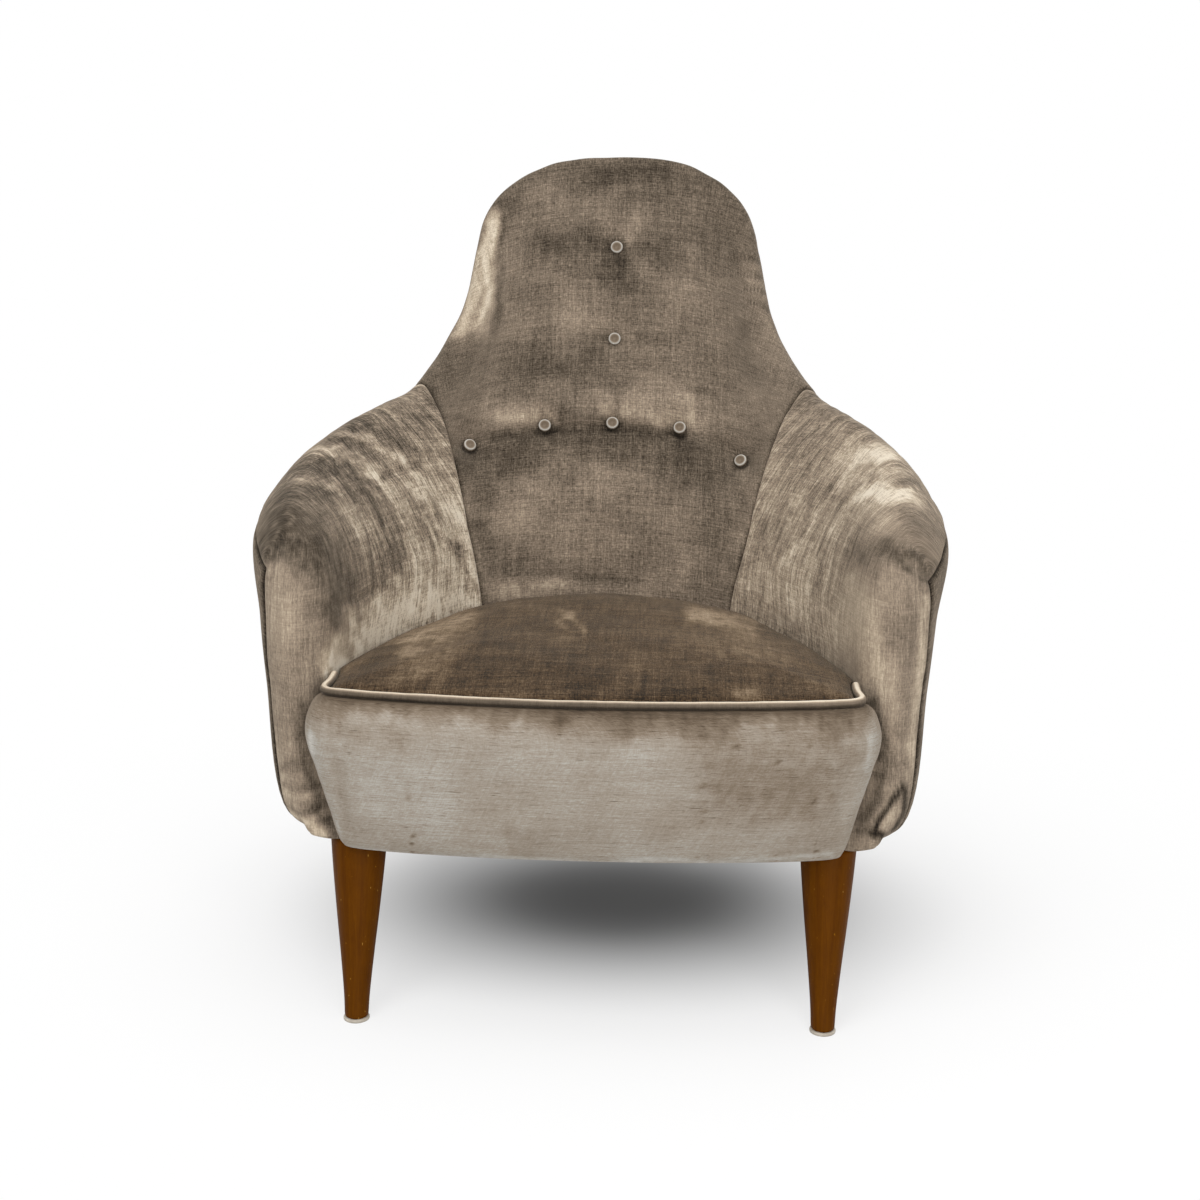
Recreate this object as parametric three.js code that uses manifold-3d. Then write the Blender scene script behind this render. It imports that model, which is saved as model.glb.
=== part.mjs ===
// Tub chair: a high-backed upholstered easy chair on four turned legs.
// Millimetres, +Z up, the front faces -Y, the origin is on the floor under the middle of the chair.

import * as THREE from 'three';
import { mergeVertices } from 'three/addons/utils/BufferGeometryUtils.js';
import Module from 'manifold-3d';

const wasm = await Module();
wasm.setup();

// Driving dimensions
const tubWidth = 808;          // across the widest rail of the tub
const chairDepth = 774;        // from the front of the border to the outside back
const chairHeight = 971;       // floor to the top of the crown
const seatHeight = 400;        // floor to the line where the seat meets the arms
const baseHeight = 204;        // floor to the underside of the upholstery

// Upholstery
const backPad = 30;            // padding on the inside back and inside arms
const rollPad = 13;            // padding over the ridge of the arms and the crown
const edgePad = 8;             // padding where the inside covers meet the outside ones
const nosePad = 14;            // padding round the arm front
const outsidePanel = 6;        // card and cover of the outside panels
const seamGap = 0.4;           // each cover stops this far from the line of a seam
const fitGap = 0.3;            // between pieces that rest on each other
const softGap = 1.4;           // between the seat and the walls round it

// Seat
const seatCrown = 26;          // how far the middle of the seat stands above its edge
const seatPadDepth = 56;       // from the seat's edge down to the hessian
const pipingDiameter = 10;
const borderPuff = 17;         // how far the border stands in front of the piping
const hessianThickness = 1.6;
const hessianInset = 8;        // from the walls round it to the edge of the hessian

// Tufts and buttons
const buttonDiameter = 17;
const buttonDepth = 7;
const tuftDepth = 13;
const tuftReach = 62;
const buttonSink = 1;          // the back of a button below the bottom of its tuft

// Frame timber
const railTopShare = 0.58;     // of the way from the rails' underside to the seat pad's
const railThickness = 24;
const postThickness = 20;
const blockHeight = 66;
const blockDepth = 46;
const frontBlockWidth = 88;
const rearBlockWidth = 80;
const blockStep = 12;          // a corner block widens this far above the rails' underside
const legSeatWidth = 56;       // the narrow part of a corner block, over the leg
const armRailWidth = 26;
const armRailHeight = 24;
const crownRailThickness = 14;
const crownRailHeight = 28;
const slatThickness = 14;
const slatHeight = 46;
const railLift = 9;            // the rails' underside above the underside of the upholstery

// Legs, bolts and glides
const legTopDiameter = 66;
const legFootDiameter = 27;
const rearLegTopDiameter = 52;
const glideDiameter = 30;
const glideThickness = 4;
const boltDiameter = 8;
const boltLength = 56;

// Springs, webbing and dust cover
const springWire = 3.6;
const springEndDiameter = 84;
const springWaistDiameter = 56;
const springTurns = 4;
const webbingWidth = 50;
const webbingThickness = 2.4;
const weaveStep = 0.3;         // the long strips lie this far within the faces of the cross strips
const dustThickness = 1.2;
const dustInset = 9;           // from the edge of the turned-in covers to the dust cover

// One overrun serves every cutting body
const overrun = 60;

// Sides and steps of the round pieces
const buttonSides = 10;
const buttonRows = 2;
const legSides = 20;
const boltSides = 10;
const pipingSides = 8;
const pipingSteps = 34;
const springSides = 5;
const springTurnSteps = 8;

// Derived
const halfWidth = tubWidth / 2;
const halfDepth = chairDepth / 2;
const railBottom = baseHeight + railLift;
const seatPadBottom = seatHeight - seatPadDepth;
const railTop = THREE.MathUtils.lerp(railBottom, seatPadBottom, railTopShare);
const railHeight = railTop - railBottom;
const legTop = baseHeight - fitGap;
const blockTop = baseHeight + blockHeight;
const hessianBottom = seatPadBottom - fitGap - hessianThickness;
const webbingTop = railBottom - fitGap;
const dustTop = webbingTop - webbingThickness - fitGap;

// Materials
const velvet = material(0x7d7062, 0.85);
const paleVelvet = material(0xa79c90, 0.85);
const darkVelvet = material(0x5d4f42, 0.85);
const pipingVelvet = material(0x8f8374, 0.8);
const legWood = material(0x7a4310, 0.42);
const frameWood = material(0xc9a877, 0.7);
const steel = material(0x8c8f92, 0.4, 0.9);
const jute = material(0x9a7f55, 0.95);
const glidePlastic = material(0xb9b2a6, 0.5);
const dustCloth = material(0x2c2b2a, 0.95);

function material(color, roughness, metalness = 0) {
  return new THREE.MeshStandardMaterial({ color, roughness, metalness });
}

// The tub is one surface lofted through eleven rails, from the inside hem over the ridge to the
// underside. A rail has eleven stations, from the nose of the arm front to the middle of the back.
// Each place is [x share of half the width, y share of half the depth, level share], where level
// 0 is the underside, 1 the seat line and 2 the top of the crown. The left side mirrors the right.
const railShares = {
  hem: [
    [0.8, -0.774, 0.045], [0.7, -0.736, 0.012], [0.715, -0.55, 0.49], [0.634, -0.289, 0.49],
    [0.55, -0.093, 0.49], [0.475, 0.067, 0.49], [0.403, 0.155, 0.49], [0.327, 0.222, 0.49],
    [0.245, 0.269, 0.49], [0.134, 0.31, 0.49], [0, 0.331, 0.49],
  ],
  seat: [
    [0.826, -0.783, 0.3], [0.755, -0.734, 0.643], [0.703, -0.548, 0.959], [0.624, -0.289, 1],
    [0.537, -0.093, 1], [0.465, 0.072, 1], [0.396, 0.16, 1], [0.322, 0.233, 1],
    [0.243, 0.279, 1], [0.134, 0.323, 1], [0, 0.346, 1],
  ],
  waist: [
    [0.837, -0.783, 0.949], [0.755, -0.731, 1.018], [0.713, -0.55, 1.084], [0.653, -0.284, 1.119],
    [0.582, -0.067, 1.14], [0.52, 0.124, 1.161], [0.455, 0.269, 1.175], [0.371, 0.346, 1.193],
    [0.267, 0.393, 1.21], [0.139, 0.426, 1.219], [0, 0.439, 1.219],
  ],
  chest: [
    [0.839, -0.778, 1.096], [0.765, -0.721, 1.119], [0.728, -0.553, 1.175], [0.698, -0.276, 1.228],
    [0.651, -0.031, 1.256], [0.587, 0.207, 1.291], [0.52, 0.403, 1.333], [0.436, 0.553, 1.42],
    [0.337, 0.62, 1.49], [0.178, 0.651, 1.525], [0, 0.661, 1.525],
  ],
  lip: [
    [0.844, -0.76, 1.184], [0.792, -0.693, 1.21], [0.772, -0.543, 1.266], [0.78, -0.264, 1.322],
    [0.748, 0.031, 1.357], [0.668, 0.3, 1.396], [0.584, 0.532, 1.424], [0.47, 0.744, 1.574],
    [0.376, 0.858, 1.809], [0.228, 0.868, 1.907], [0, 0.873, 1.925],
  ],
  ridge: [
    [0.849, -0.729, 1.228], [0.861, -0.667, 1.263], [0.881, -0.53, 1.315], [0.889, -0.258, 1.364],
    [0.839, 0.067, 1.406], [0.75, 0.362, 1.438], [0.658, 0.636, 1.469], [0.524, 0.832, 1.634],
    [0.439, 0.915, 1.876], [0.258, 0.915, 1.974], [0, 0.91, 2],
  ],
  crest: [
    [0.844, -0.76, 1.184], [0.926, -0.677, 1.203], [0.985, -0.522, 1.245], [1, -0.243, 1.284],
    [0.958, 0.088, 1.315], [0.859, 0.388, 1.35], [0.733, 0.667, 1.385], [0.554, 0.879, 1.587],
    [0.449, 0.976, 1.849], [0.258, 0.979, 1.942], [0, 0.981, 1.96],
  ],
  flank: [
    [0.839, -0.778, 1.096], [0.928, -0.693, 1.096], [0.968, -0.537, 1.109], [0.985, -0.245, 1.126],
    [0.946, 0.093, 1.151], [0.854, 0.393, 1.175], [0.743, 0.656, 1.201], [0.588, 0.848, 1.333],
    [0.449, 0.951, 1.525], [0.238, 0.978, 1.63], [0, 0.982, 1.648],
  ],
  side: [
    [0.837, -0.783, 0.949], [0.918, -0.703, 0.923], [0.95, -0.543, 0.939], [0.963, -0.248, 0.959],
    [0.926, 0.093, 0.99], [0.837, 0.377, 1.009], [0.733, 0.63, 1.021], [0.584, 0.806, 1.07],
    [0.421, 0.904, 1.14], [0.223, 0.946, 1.175], [0, 0.956, 1.184],
  ],
  sill: [
    [0.826, -0.783, 0.3], [0.876, -0.698, 0.13], [0.915, -0.537, 0.17], [0.928, -0.248, 0.22],
    [0.886, 0.088, 0.235], [0.804, 0.357, 0.235], [0.698, 0.589, 0.235], [0.559, 0.734, 0.235],
    [0.396, 0.806, 0.235], [0.208, 0.842, 0.235], [0, 0.853, 0.235],
  ],
  under: [
    [0.8, -0.774, 0.045], [0.79, -0.667, 0], [0.85, -0.527, 0], [0.864, -0.253, 0],
    [0.827, 0.067, 0], [0.748, 0.315, 0], [0.649, 0.532, 0], [0.515, 0.661, 0],
    [0.361, 0.729, 0], [0.188, 0.76, 0], [0, 0.77, 0],
  ],
};
const railNames = Object.keys(railShares);
const lastRail = railNames.length - 1;
const ridgeRail = railNames.indexOf('ridge');
const crestRail = railNames.indexOf('crest');
const middleStation = railShares.hem.length - 1;
const lastStation = 2 * middleStation;

// Where the covers start and end, in stations and rails
const coverShares = {
  nose: 0.5,                   // the extra station on the round of the arm front
  corner: 1,                   // the sewn front edge of the outside arm
  neck: 6,                     // the seam of inside back and inside arm
  skirt: 0.5,                  // the inside covers' lower edge, just below the seat line
  rollStart: 2.4,              // the padding thins from here
  rollEnd: 3.8,                // to here
  noseFade: 2,                 // and over this many stations towards the nose
  probe: 0.05,                 // a short way, to feel the slope of the tub
};
const neckStation = coverShares.neck;
const cornerStation = coverShares.corner;
const skirtRail = coverShares.skirt;

function levelHeight(share) {
  const low = baseHeight + Math.min(share, 1) * (seatHeight - baseHeight);
  return low + Math.max(share - 1, 0) * (chairHeight - seatHeight);
}

function placeFrom([x, y, level], side = 1) {
  return new THREE.Vector3(side * x * halfWidth, y * halfDepth, levelHeight(level));
}

function placeAbove([x, y], height) {
  return new THREE.Vector3(x * halfWidth, y * halfDepth, height);
}

// Each rail runs round the whole tub and takes one ghost place past each nose, on the rail that
// meets it there, so the arm front is round.
const railCurves = railNames.map((name, rail) => {
  const partner = railShares[railNames[lastRail - rail]];
  const right = railShares[name].map((share) => placeFrom(share));
  const left = railShares[name].slice(0, middleStation).reverse().map((share) => placeFrom(share, -1));
  const points = [placeFrom(partner[1]), ...right, ...left, placeFrom(partner[1], -1)];
  return new THREE.CatmullRomCurve3(points, false, 'centripetal');
});

const sectionCache = new Map();
function sectionCurve(station) {
  if (!sectionCache.has(station)) {
    const share = (station + 1) / (lastStation + 2);
    const places = railCurves.map((curve) => curve.getPoint(share));
    sectionCache.set(station, new THREE.CatmullRomCurve3(places, false, 'centripetal'));
  }
  return sectionCache.get(station);
}

function tubPoint(station, rail) {
  return sectionCurve(station).getPoint(rail / lastRail);
}

// Samples of the tub surface: finer across the back, where the tufts are
function spread(from, to, steps) {
  return Array.from({ length: steps }, (_, i) => from + ((to - from) * i) / steps);
}
const armColumns = 10;
const backColumns = 28;
const noseStation = coverShares.nose;
const backEnd = lastStation - neckStation;
const armEnd = lastStation - cornerStation;
const backStep = (backEnd - neckStation) / backColumns;
const stations = [
  0, noseStation,
  ...spread(cornerStation, neckStation, armColumns),
  ...spread(neckStation, backEnd, backColumns),
  ...spread(backEnd, armEnd, armColumns),
  armEnd, lastStation - noseStation, lastStation,
];
// The outer rows mirror the inner ones, so that both meet place for place at the nose
const innerRows = [0, skirtRail, 1, 2, 2.32, 2.58, 2.8, 3.14, 3.62, 4, 4.33, 4.67];
const outerRows = innerRows.map((row) => lastRail - row).reverse();
const rails = [...innerRows, ridgeRail, ...outerRows];

// Vertices of the sampled surface, with those that meet at the noses counted once, and the mean
// normal of the faces round each
const mergeStep = 0.01;
const skin = (() => {
  const points = [];
  const places = new Map();
  const at = stations.map((station) => rails.map((rail) => {
    const point = tubPoint(station, rail);
    const key = point.toArray().map((value) => Math.round(value / mergeStep)).join(' ');
    if (!places.has(key)) {
      places.set(key, points.length);
      points.push({ point, normal: new THREE.Vector3() });
    }
    return places.get(key);
  }));
  for (let i = 0; i + 1 < stations.length; i += 1) {
    for (let j = 0; j + 1 < rails.length; j += 1) {
      const corners = [at[i][j], at[i + 1][j], at[i + 1][j + 1], at[i][j + 1]];
      const [a, b, c, d] = corners.map((index) => points[index].point);
      const normal = new THREE.Vector3().crossVectors(d.clone().sub(b), c.clone().sub(a));
      corners.forEach((index) => points[index].normal.add(normal));
    }
  }
  points.forEach((vertex) => vertex.normal.normalize());
  return { points, at };
})();

// A path from one side to the middle, carried on to the other side
function mirrorPath(half) {
  return [...half, ...half.slice(0, -1).reverse().map((place) => place.clone().setX(-place.x))];
}

// Turns triangles over a list of places into a geometry, with its faces pointing out
function closedGeometry(places, triangles) {
  let volume = 0;
  triangles.forEach(([a, b, c]) => {
    volume += places[a].dot(new THREE.Vector3().crossVectors(places[b], places[c]));
  });
  const faces = volume < 0 ? triangles.map(([a, b, c]) => [a, c, b]) : triangles;
  const geometry = new THREE.BufferGeometry();
  const positions = places.flatMap((place) => place.toArray());
  geometry.setAttribute('position', new THREE.Float32BufferAttribute(positions, 3));
  geometry.setIndex(faces.flat());
  return geometry;
}

// A pad or panel over some cells of the tub. lift moves the outer face only.
function coverOver(holds, thickness, lift = () => 0) {
  const quads = [];
  for (let i = 0; i + 1 < stations.length; i += 1) {
    for (let j = 0; j + 1 < rails.length; j += 1) {
      const station = (stations[i] + stations[i + 1]) / 2;
      const rail = (rails[j] + rails[j + 1]) / 2;
      if (holds(station, rail)) quads.push([[i, j], [i + 1, j], [i + 1, j + 1], [i, j + 1]]);
    }
  }
  const used = new Map();
  const triangles = [];
  quads.forEach((quad) => {
    const ids = quad.map(([i, j]) => {
      const id = skin.at[i][j];
      if (!used.has(id)) {
        const at = { station: stations[i], rail: rails[j] };
        used.set(id, { ...skin.points[id], ...at, near: new Set() });
      }
      return id;
    });
    const [a, b, c, d] = ids;
    const halves = quad[0][0] < stations.indexOf(middleStation)
      ? [[a, b, c], [a, c, d]] : [[a, b, d], [b, c, d]];
    triangles.push(...halves.filter((half) => new Set(half).size === 3));
  });
  const edges = new Map();
  triangles.forEach((triangle) => triangle.forEach((from, k) => {
    const to = triangle[(k + 1) % 3];
    used.get(from).near.add(to);
    used.get(to).near.add(from);
    const key = `${Math.min(from, to)} ${Math.max(from, to)}`;
    edges.set(key, edges.has(key) ? null : [from, to]);
  }));
  const rim = [...edges.values()].filter((edge) => edge);
  // At the rim, the way into the cover, square to each rim edge
  const inward = new Map(rim.flat().map((id) => [id, new THREE.Vector3()]));
  rim.forEach(([from, to]) => {
    const a = used.get(from);
    const b = used.get(to);
    const along = b.point.clone().sub(a.point).normalize();
    const normal = a.normal.clone().add(b.normal);
    const way = new THREE.Vector3().crossVectors(normal, along).normalize();
    const third = [...a.near].find((other) => b.near.has(other));
    if (way.dot(used.get(third).point.clone().sub(a.point)) < 0) way.negate();
    inward.get(from).add(way);
    inward.get(to).add(way);
  });
  const order = [...used.keys()];
  const indexOf = new Map(order.map((id, index) => [id, index]));
  const outer = [];
  const inner = [];
  order.forEach((id) => {
    const vertex = used.get(id);
    const base = vertex.point.clone();
    if (inward.has(id)) {
      const way = inward.get(id);
      base.addScaledVector(way, (2 * seamGap) / way.lengthSq());
    }
    const depth = thickness(vertex.station, vertex.rail);
    outer.push(base.clone().addScaledVector(vertex.normal, lift(base)));
    inner.push(base.clone().addScaledVector(vertex.normal, -depth));
  });
  const faces = [];
  const count = order.length;
  triangles.forEach((triangle) => {
    const [a, b, c] = triangle.map((id) => indexOf.get(id));
    faces.push([a, b, c], [a + count, c + count, b + count]);
  });
  rim.forEach(([from, to]) => {
    const a = indexOf.get(from);
    const b = indexOf.get(to);
    if (from < to) faces.push([b, a, a + count], [b, a + count, b + count]);
    else faces.push([b, a, b + count], [a, a + count, b + count]);
  });
  return closedGeometry([...outer, ...inner], faces);
}

// A closed body through rings of places; each end is closed by a fan round its own centre, or
// round a given place
function loft(rings, startCentre, endCentre) {
  const size = rings[0].length;
  const places = rings.flat();
  const faces = [];
  for (let r = 0; r + 1 < rings.length; r += 1) {
    for (let k = 0; k < size; k += 1) {
      const next = (k + 1) % size;
      const a = r * size + k;
      const b = r * size + next;
      faces.push([a, b, b + size], [a, b + size, a + size]);
    }
  }
  const middle = (ring) => ring
    .reduce((sum, place) => sum.add(place), new THREE.Vector3())
    .divideScalar(size);
  const start = places.push(startCentre ?? middle(rings[0])) - 1;
  const end = places.push(endCentre ?? middle(rings[rings.length - 1])) - 1;
  const lastRing = (rings.length - 1) * size;
  for (let k = 0; k < size; k += 1) {
    const next = (k + 1) % size;
    faces.push([start, next, k], [end, lastRing + k, lastRing + next]);
  }
  return closedGeometry(places, faces);
}

// A timber along a level path, its section width across the path and height up
function bar(path, width, height) {
  return loft(path.map((point, i) => {
    const before = path[Math.max(i - 1, 0)];
    const after = path[Math.min(i + 1, path.length - 1)];
    const along = after.clone().sub(before).setZ(0).normalize();
    const side = new THREE.Vector3(-along.y, along.x, 0).multiplyScalar(width / 2);
    const up = new THREE.Vector3(0, 0, height / 2);
    return [
      point.clone().sub(side).sub(up),
      point.clone().add(side).sub(up),
      point.clone().add(side).add(up),
      point.clone().sub(side).add(up),
    ];
  }));
}

// A timber along a rising path, its section level
function post(path, width, depth) {
  return loft(path.map((point) => [[-1, -1], [1, -1], [1, 1], [-1, 1]].map(
    ([x, y]) => point.clone().add(new THREE.Vector3((x * width) / 2, (y * depth) / 2, 0)),
  )));
}

// A body of revolution with its axis from one place towards another, given as [radius, height]
function turned(profile, from, to, around) {
  const geometry = new THREE.LatheGeometry(profile.map(([r, h]) => new THREE.Vector2(r, h)), around);
  const axis = to.clone().sub(from).normalize();
  const turn = new THREE.Quaternion().setFromUnitVectors(new THREE.Vector3(0, 1, 0), axis);
  geometry.applyQuaternion(turn);
  geometry.translate(from.x, from.y, from.z);
  return geometry;
}

function block(centre, width, depth, bottom, top) {
  const geometry = new THREE.BoxGeometry(width, depth, top - bottom);
  geometry.translate(centre.x, centre.y, (top + bottom) / 2);
  return geometry;
}

// Booleans
function toSolid(geometry) {
  const bare = geometry.clone();
  bare.deleteAttribute('normal');
  bare.deleteAttribute('uv');
  const merged = mergeVertices(bare);
  return new wasm.Manifold(new wasm.Mesh({
    numProp: 3,
    vertProperties: new Float32Array(merged.attributes.position.array),
    triVerts: new Uint32Array(merged.index.array),
  }));
}

function toGeometry(solid) {
  const mesh = solid.getMesh();
  const geometry = new THREE.BufferGeometry();
  geometry.setAttribute('position', new THREE.BufferAttribute(mesh.vertProperties, 3));
  geometry.setIndex(new THREE.BufferAttribute(mesh.triVerts, 1));
  return geometry;
}

function cut(geometry, ...tools) {
  const rest = tools.reduce((solid, tool) => solid.subtract(toSolid(tool)), toSolid(geometry));
  return toGeometry(rest);
}

function join(...geometries) {
  const [first, ...others] = geometries.map(toSolid);
  return toGeometry(others.reduce((solid, other) => solid.add(other), first));
}

const chair = new THREE.Group();
function addPart(name, geometry, look) {
  const shaded = geometry.clone();
  shaded.computeVertexNormals();
  const mesh = new THREE.Mesh(shaded, look);
  mesh.name = name;
  chair.add(mesh);
  return mesh;
}

const sides = [['right', 1], ['left', -1]];

function mirrored(geometry) {
  const flipped = geometry.clone();
  flipped.scale(-1, 1, 1);
  const index = flipped.index.array;
  for (let i = 0; i < index.length; i += 3) [index[i], index[i + 1]] = [index[i + 1], index[i]];
  return flipped;
}

// A piece of the right side and its mirror image on the left
function addPair(name, geometry, look) {
  sides.forEach(([side, sign]) => {
    addPart(`${name}_${side}`, sign > 0 ? geometry : mirrored(geometry), look);
  });
}

// Buttons: one column up the middle and a row of five. Each is [columns from the middle of the
// back, rail share from the hem to the underside].
const buttonShares = {
  button_top: [0, 0.362],
  button_upper: [0, 0.314],
  button_row_1: [-11, 0.258],
  button_row_2: [-5, 0.258],
  button_row_3: [0, 0.258],
  button_row_4: [5, 0.258],
  button_row_5: [12, 0.28],
};
const { probe } = coverShares;
const buttons = Object.entries(buttonShares).map(([name, [columns, share]]) => {
  const station = middleStation + columns * backStep;
  const rail = share * lastRail;
  const along = tubPoint(station + probe, rail).sub(tubPoint(station - probe, rail));
  const across = tubPoint(station, rail + probe).sub(tubPoint(station, rail - probe));
  return { name, point: tubPoint(station, rail), normal: across.cross(along).normalize() };
});

// How deep the cover is drawn in at a place by the buttons near it
function tuft(place) {
  return buttons.reduce((depth, button) => {
    const reach = place.distanceTo(button.point) / tuftReach;
    return Math.max(depth, tuftDepth * Math.max(1 - reach, 0) ** 2);
  }, 0);
}

// Upholstery over the tub: the padding thins towards the roll and towards the nose
function insideThickness(station, rail) {
  const fromNose = Math.min(station, lastStation - station);
  const onRoll = THREE.MathUtils.smoothstep(rail, coverShares.rollStart, coverShares.rollEnd);
  const onEdge = THREE.MathUtils.clamp(rail - ridgeRail, 0, 1);
  const body = THREE.MathUtils.lerp(backPad, rollPad, onRoll);
  const wall = THREE.MathUtils.lerp(body, edgePad, onEdge);
  const nose = rail > crestRail ? edgePad : Math.min(wall, nosePad);
  const fade = THREE.MathUtils.clamp((fromNose - cornerStation) / coverShares.noseFade, 0, 1);
  return THREE.MathUtils.lerp(nose, wall, fade);
}

const isBack = (station) => station > neckStation && station < lastStation - neckStation;
const isNose = (station) => station < cornerStation;

// A covered button, flat behind and domed in front, or the pocket it sits in
function buttonBody({ point, normal }, grow) {
  const radius = buttonDiameter / 2 + grow;
  const edge = buttonDepth / 3;
  const dome = Array.from({ length: buttonRows + 1 }, (_, row) => {
    const turn = (row / buttonRows) * (Math.PI / 2);
    const reach = row < buttonRows ? radius * Math.cos(turn) : 0;
    return [reach, edge + 2 * edge * Math.sin(turn) + grow];
  });
  const from = point.clone().addScaledVector(normal, -tuftDepth - buttonSink);
  const profile = [[0, -grow], [radius, -grow], ...dome];
  return turned(profile, from, from.clone().add(normal), buttonSides);
}

const backCover = coverOver(
  (station, rail) => isBack(station) && rail > skirtRail && rail < crestRail,
  insideThickness,
  (place) => -tuft(place),
);
const pockets = buttons.map((button) => buttonBody(button, fitGap));
addPart('inside_back', cut(backCover, ...pockets), velvet);
buttons.forEach((button) => {
  addPart(button.name, toGeometry(toSolid(buttonBody(button, 0))), paleVelvet);
});
addPair('inside_arm', coverOver(
  (station, rail) => (station < neckStation && rail > skirtRail && rail < crestRail)
    || isNose(station),
  insideThickness,
), velvet);
addPair('outside_arm', coverOver(
  (station, rail) => station > cornerStation && station < neckStation && rail > crestRail,
  () => outsidePanel,
), velvet);
addPart('outside_back', coverOver(
  (station, rail) => isBack(station) && rail > crestRail,
  () => outsidePanel,
), velvet);

// Seat: lines across the front, each a shallow bow between its middle and its two corners
const seatShares = {
  cornerX: 0.742,              // of half the width: the corner where the piping turns back
  tuckX: 0.728,                // where it goes in beside the arm
  tuckY: -0.72,                // of half the depth
  pipingCornerY: -0.876,
  railMiddleY: -0.84,          // the front of the front rail, in the middle and at its ends
  railCornerY: -0.761,
  railEndX: 0.66,
  dustFrontX: 0.59,            // the front corners of the dust cover, between the corner blocks
  centreY: -0.3,
};
const cornerX = seatShares.cornerX * halfWidth;
const tuckX = seatShares.tuckX * halfWidth;
const tuckY = seatShares.tuckY * halfDepth;
const pipingMiddle = -(halfDepth - borderPuff);
const pipingCorner = seatShares.pipingCornerY * halfDepth;
const railFront = {
  middle: seatShares.railMiddleY * halfDepth,
  corner: seatShares.railCornerY * halfDepth,
};
const pipingRadius = pipingDiameter / 2;
const pipingHeight = seatHeight - pipingRadius + 2 * fitGap;

function bow(x, middle, corner) {
  return middle + (corner - middle) * (x / cornerX) ** 2;
}

const seatFrontShares = [0.985, 0.93, 0.75, 0.5, 0.25, 0, -0.25, -0.5, -0.75, -0.93, -0.985];

// Places at a rail of the tub wall, drawn in towards the middle of the chair
const wallStart = cornerStation + noseStation;
function wallPlaces(rail, height, inset) {
  return stations
    .filter((station) => station >= wallStart && station <= lastStation - wallStart)
    .map((station) => {
      const point = tubPoint(station, rail);
      const inward = new THREE.Vector3(0, 0, point.z).sub(point).setLength(inset);
      return point.add(inward).setZ(height);
    });
}

// The seat's outline at a rail of the tub wall, closed by a bowed front edge. The way to the middle
// runs at up to 45 degrees to the wall, so the inset along it is longer than the gap.
function seatOutline(rail, height, middle, corner, inset) {
  const wall = wallPlaces(rail, height, inset * Math.SQRT2);
  const sideX = tuckX - pipingRadius - inset;
  const front = seatFrontShares.map((share) => {
    const x = -share * sideX;
    return new THREE.Vector3(x, bow(x, middle, corner), height);
  });
  const shoulder = (sign) => new THREE.Vector3(sign * sideX, tuckY, height);
  return [...wall, shoulder(-1), ...front, shoulder(1)];
}

const pipeBack = pipingRadius + fitGap;
const seatBottomRing = seatOutline(skirtRail, seatPadBottom, railFront.middle + softGap,
  railFront.corner + softGap, 3 * softGap);
const seatEdgeRing = seatOutline(1, seatHeight, pipingMiddle + pipeBack, pipingCorner + pipeBack,
  softGap);
const seatCentre = placeAbove([0, seatShares.centreY], 0);
const crownShares = [0.97, 0.88, 0.72, 0.5, 0.25];
const seatRings = [seatBottomRing, seatEdgeRing, ...crownShares.map((share) => {
  const rise = seatCrown * (1 - share ** 3);
  return seatEdgeRing.map((place) => seatCentre.clone()
    .lerp(place, share)
    .setZ(seatHeight + rise));
})];
addPart('seat_pad', loft(
  seatRings,
  seatCentre.clone().setZ(seatPadBottom),
  seatCentre.clone().setZ(seatHeight + seatCrown),
), darkVelvet);

const hessianRing = seatOutline(skirtRail, hessianBottom, railFront.middle + railThickness,
  railFront.corner + railThickness, hessianInset);
addPart('hessian', loft([
  hessianRing,
  hessianRing.map((place) => place.clone().setZ(seatPadBottom - fitGap)),
]), jute);

// Piping: from one tuck beside the arm, round the corner and along the front. The corner's places
// are [share of half the width, share of half the depth, rise as a share of the piping's radius].
const pipingCornerShares = [
  [0.728, -0.72, 0.4], [0.728, -0.792, 0.3], [0.735, -0.842, 0], [0.722, -0.869, 0],
];
const pipingFrontShares = [0.88, 0.66, 0.33, 0];
const pipingHalf = [
  ...pipingCornerShares.map(([x, y, rise]) => placeAbove([x, y], pipingHeight + rise * pipingRadius)),
  ...pipingFrontShares.map((share) => {
    const x = share * cornerX;
    return new THREE.Vector3(x, bow(x, pipingMiddle, pipingCorner), pipingHeight);
  }),
];
const pipingPath = new THREE.CatmullRomCurve3(mirrorPath(pipingHalf));

function roundShape(radius, count) {
  const corners = Array.from({ length: count }, (_, k) => {
    const turn = (2 * Math.PI * (k + 0.5)) / count;
    return new THREE.Vector2(radius * Math.cos(turn), radius * Math.sin(turn));
  });
  return new THREE.Shape(corners);
}

function cordAlong(path, radius, count, steps) {
  const shape = roundShape(radius, count);
  return toGeometry(toSolid(new THREE.ExtrudeGeometry(shape, { steps, extrudePath: path })));
}
addPart('seat_piping', cordAlong(pipingPath, pipingRadius, pipingSides, pipingSteps), pipingVelvet);

// Front border: level rings from its underside to the piping. Each row is [height share, half
// width as a share of half the tub's, front in the middle, front at the side]: the two fronts are
// shares of half the depth. Its back stands against the front rail and, above the seat pad's
// underside, leans out with the seat pad and keeps ahead of it.
const borderRowShares = [
  [0, 0.702, -0.86, -0.768],
  [0.05, 0.711, -0.884, -0.776],
  [0.2, 0.729, -0.923, -0.784],
  [0.4, 0.749, -0.958, -0.79],
  [0.6, 0.777, -0.984, -0.795],
  [0.74, 0.793, -0.998, -0.797],
  [0.85, 0.79, -1, -0.797],
  [0.93, 0.775, -0.99, -0.8],
  [0.98, 0.752, -0.974, -0.815],
  [1, 0.735, -0.962, -0.835],
];
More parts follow.
